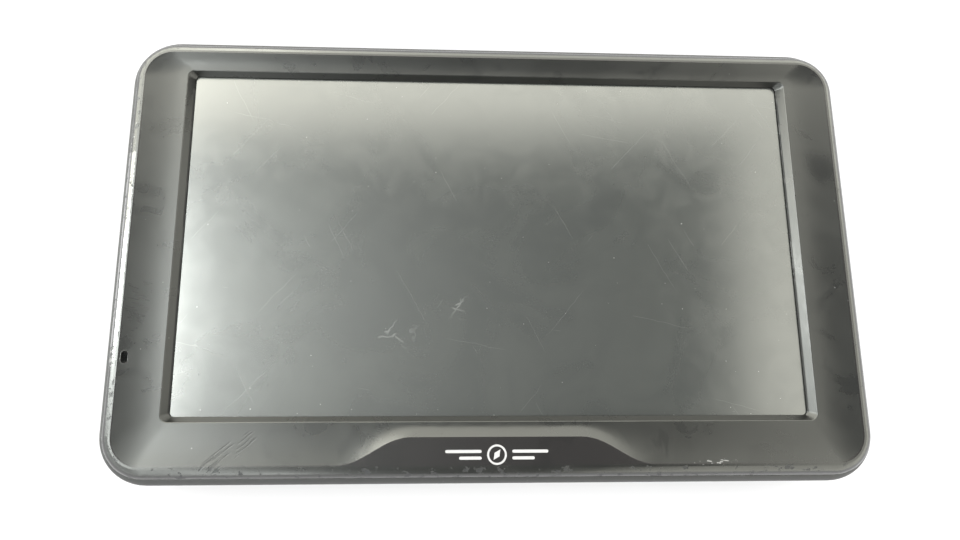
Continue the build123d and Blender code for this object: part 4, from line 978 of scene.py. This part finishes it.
def screw_shape():
    """A round-head screw with a six-lobe socket and a rolled thread, pointing up from its head."""
    group, tree, inside, result = node_shape("Six-lobe Screw", [
        ("Head Radius", FLOAT, 0.002), ("Head Height", FLOAT, 0.0013), ("Shaft Radius", FLOAT, 0.00095),
        ("Length", FLOAT, 0.01), ("Thread Pitch", FLOAT, 0.0007), ("Thread Depth", FLOAT, 0.00012),
        ("Lobe Share", FLOAT, 0.16), ("Finish", "NodeSocketMaterial", None),
    ])
    around, rows = 49, 201
    grid = tree.put("GeometryNodeMeshGrid", {
        "Size X": 1.0, "Size Y": 1.0, "Vertices X": around, "Vertices Y": rows,
    }).outputs["Mesh"]
    u, v, _ = tree.split(tree.put("GeometryNodeInputPosition").outputs[0])
    angle = tree.times(tree.plus(u, 0.5), 2 * pi)
    share = tree.plus(v, 0.5)
    # shares of the way along the section: socket floor, socket wall, face, edge, underside, shaft, tip
    head_share = curve_of(tree, share, [
        (0.0, 0.0), (0.04, 0.48), (0.08, 0.54), (0.11, 0.62), (0.16, 0.9), (0.18, 0.975), (0.20, 1.0),
        (0.22, 1.0), (0.24, 0.475), (0.94, 0.475), (1.0, 0.0),
    ])
    depth_share = curve_of(tree, share, [
        (0.0, 0.095), (0.04, 0.08), (0.08, 0.012), (0.11, 0.0), (0.16, 0.008), (0.18, 0.022), (0.20, 0.045),
        (0.22, 0.13), (0.24, 0.13), (0.94, 0.93), (1.0, 1.0),
    ])
    z = tree.times(depth_share, inside["Length"])
    in_socket = tree.band(share, 0.03, 0.08, 0.015)
    lobes = tree.times(tree.math("COSINE", tree.times(angle, 6.0)), inside["Lobe Share"], in_socket)
    in_thread = tree.band(share, 0.27, 0.92, 0.01)
    turn = tree.plus(tree.times(tree.math("DIVIDE", z, inside["Thread Pitch"]), 2 * pi), angle)
    ridge = tree.times(tree.math("SINE", turn), inside["Thread Depth"], in_thread)
    radius = tree.plus(tree.times(head_share, inside["Head Radius"], tree.plus(1.0, lobes)), ridge)
    place = tree.join(
        tree.times(radius, tree.math("COSINE", angle)), tree.times(radius, tree.math("SINE", angle)), z
    )
    shaped = tree.put("GeometryNodeSetPosition", {"Geometry": grid, "Position": place}).outputs[0]
    closed = tree.put("GeometryNodeMergeByDistance", {"Geometry": shaped, "Distance": 0.000002}).outputs[0]
    screws = tree.put(
        "GeometryNodeInstanceOnPoints", {"Points": inside["Geometry"], "Instance": closed}
    ).outputs[0]
    finish_shape(tree, screws, inside, result, 0.7)
    return group


def finish_shape(tree, geometry, inside, result, crease):
    """Realises, shades smooth up to the crease angle, and sets the material."""
    real = tree.put("GeometryNodeRealizeInstances", {"Geometry": geometry}).outputs[0]
    smooth = tree.put("GeometryNodeSetShadeSmooth", {"Geometry": real, "Shade Smooth": True}).outputs[0]
    bend = tree.put("GeometryNodeInputMeshEdgeAngle").outputs["Unsigned Angle"]
    sharp = tree.put("FunctionNodeCompare", {"A": bend, "B": crease}, operation="GREATER_THAN").outputs[0]
    creased = tree.put(
        "GeometryNodeSetShadeSmooth",
        {"Geometry": smooth, "Selection": sharp, "Shade Smooth": False},
        domain="EDGE",
    ).outputs[0]
    painted = tree.put(
        "GeometryNodeSetMaterial", {"Geometry": creased, "Material": inside["Finish"]}
    ).outputs[0]
    tree.feed(result, painted)


def contact_shape():
    """A row of sprung contact blades that lie along Y, bowed up in Z."""
    group, tree, inside, result = node_shape("Contact Row", [
        ("Count", "NodeSocketInt", 5), ("Pitch", FLOAT, 0.0008), ("Blade Width", FLOAT, 0.0004),
        ("Blade Thickness", FLOAT, 0.00012), ("Blade Length", FLOAT, 0.005), ("Bow", FLOAT, 0.0004),
        ("Finish", "NodeSocketMaterial", None),
    ])
    length, bow = inside["Blade Length"], inside["Bow"]
    spine = tree.put("GeometryNodeCurvePrimitiveBezierSegment", {
        "Resolution": 14,
        "Start": (0, 0, 0),
        "Start Handle": tree.join(0.0, tree.times(length, 0.35), 0.0),
        "End Handle": tree.join(0.0, tree.times(length, 0.75), tree.times(bow, 2.2)),
        "End": tree.join(0.0, length, tree.times(bow, 0.3)),
    }).outputs[0]
    section = tree.put("GeometryNodeCurvePrimitiveQuadrilateral", {
        "Width": inside["Blade Thickness"], "Height": inside["Blade Width"],
    }).outputs[0]
    rounded = tree.put(
        "GeometryNodeFilletCurve",
        {"Curve": section, "Count": 2, "Radius": tree.times(inside["Blade Thickness"], 0.3)},
        mode="POLY",
    ).outputs[0]
    blade = tree.put(
        "GeometryNodeCurveToMesh", {"Curve": spine, "Profile Curve": rounded, "Fill Caps": True}
    ).outputs[0]
    gaps = tree.math("SUBTRACT", inside["Count"], 1.0)
    start = tree.join(tree.times(gaps, inside["Pitch"], -0.5), 0.0, 0.0)
    row = tree.put("GeometryNodeMeshLine", {
        "Count": inside["Count"], "Start Location": start, "Offset": tree.join(inside["Pitch"], 0.0, 0.0),
    }).outputs[0]
    blades = tree.put("GeometryNodeInstanceOnPoints", {"Points": row, "Instance": blade}).outputs[0]
    gathered = tree.put("GeometryNodeRealizeInstances", {"Geometry": blades}).outputs[0]
    rows = tree.put(
        "GeometryNodeInstanceOnPoints", {"Points": inside["Geometry"], "Instance": gathered}
    ).outputs[0]
    finish_shape(tree, rows, inside, result, 0.9)
    return group


def slot_ring_shape():
    """A rounded bead along a slot's edge."""
    group, tree, inside, result = node_shape("Port Bead", [
        ("Slot Length", FLOAT, 0.003), ("Slot Width", FLOAT, 0.0015), ("Bead Radius", FLOAT, 0.0001),
        ("Finish", "NodeSocketMaterial", None),
    ])
    outline = tree.put("GeometryNodeCurvePrimitiveQuadrilateral", {
        "Width": inside["Slot Width"], "Height": inside["Slot Length"],
    }).outputs[0]
    rounded = tree.put(
        "GeometryNodeFilletCurve",
        {"Curve": outline, "Count": 8, "Radius": tree.times(inside["Slot Width"], 0.499)},
        mode="POLY",
    ).outputs[0]
    section = tree.put(
        "GeometryNodeCurvePrimitiveCircle", {"Resolution": 10, "Radius": inside["Bead Radius"]}
    ).outputs[0]
    bead = tree.put(
        "GeometryNodeCurveToMesh", {"Curve": rounded, "Profile Curve": section}
    ).outputs[0]
    placed = tree.put(
        "GeometryNodeInstanceOnPoints",
        {"Points": inside["Geometry"], "Instance": bead, "Rotation": (0.0, radians(12.0), 0.0)},
    ).outputs[0]
    finish_shape(tree, placed, inside, result, 1.2)
    return group


def case_screws(finish):
    """Six screws in the rear cover's counterbores."""
    low, high = (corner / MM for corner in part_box("case_screws"))
    head = 2.0               # mm, head radius
    side, top, bottom = high.x - head, high.y - head, low.y + head
    places = [(sx * side, sy * top, low.z) for sx in (-1, 1) for sy in (-1, 1)]
    places += [(sx * lower_screw_x, bottom, low.z) for sx in (-1, 1)]
    values = {
        "Head Radius": head * MM, "Length": (high.z - low.z) * MM, "Finish": finish,
    }
    piece = made("rear_screws", screw_shape(), values, places, CASE)
    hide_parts("case_screws")


def port_contacts(finish):
    """Five contacts under the power socket's tongue and eight in the card socket."""
    shape = contact_shape()
    low, high = (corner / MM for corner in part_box("usb_tongue"))
    tongue_z = (low.z + high.z) / 2 + 0.4
    made("usb_contacts", shape, {
        "Count": 5, "Pitch": 0.8 * MM, "Blade Width": 0.42 * MM, "Blade Length": 5.4 * MM, "Bow": 0.14 * MM,
        "Finish": finish,
    }, [((low.x + high.x) / 2, low.y + 0.3, tongue_z + 0.06)], CASE)
    low, high = (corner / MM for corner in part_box("card_socket"))
    made("card_contacts", shape, {
        "Count": 8, "Pitch": 1.1 * MM, "Blade Width": 0.5 * MM, "Blade Length": 4.2 * MM, "Bow": 0.3 * MM,
        "Finish": finish,
    }, [((low.x + high.x) / 2 - 1.2, low.y + 6.5, low.z + 0.33)], CASE)


def mic_port(bead_finish):
    """The moulded bead round the microphone port."""
    made("mic_port_bead", slot_ring_shape(), {
        "Slot Length": 3.02 * MM, "Slot Width": 1.62 * MM, "Bead Radius": 0.1 * MM, "Finish": bead_finish,
    }, [(mic_x, mic_y, mic_z)], CASE)


dress_all()
case_screws(metal("black_zinc", (0.05, 0.05, 0.052), (0.1, 0.1, 0.1), 0.32, 0.05, (0.2, 0.18, 0.15)))
port_contacts(metal("contact_gold", (0.75, 0.5, 0.2), (0.9, 0.66, 0.32), 0.22, 0.05))
mic_port(glazed("bead_gloss", (0.02, 0.02, 0.02), (0.05, 0.05, 0.048), 0.16, 3.0))
studio_light()
floor()
camera()
bpy.context.scene.view_settings.view_transform = "Standard"
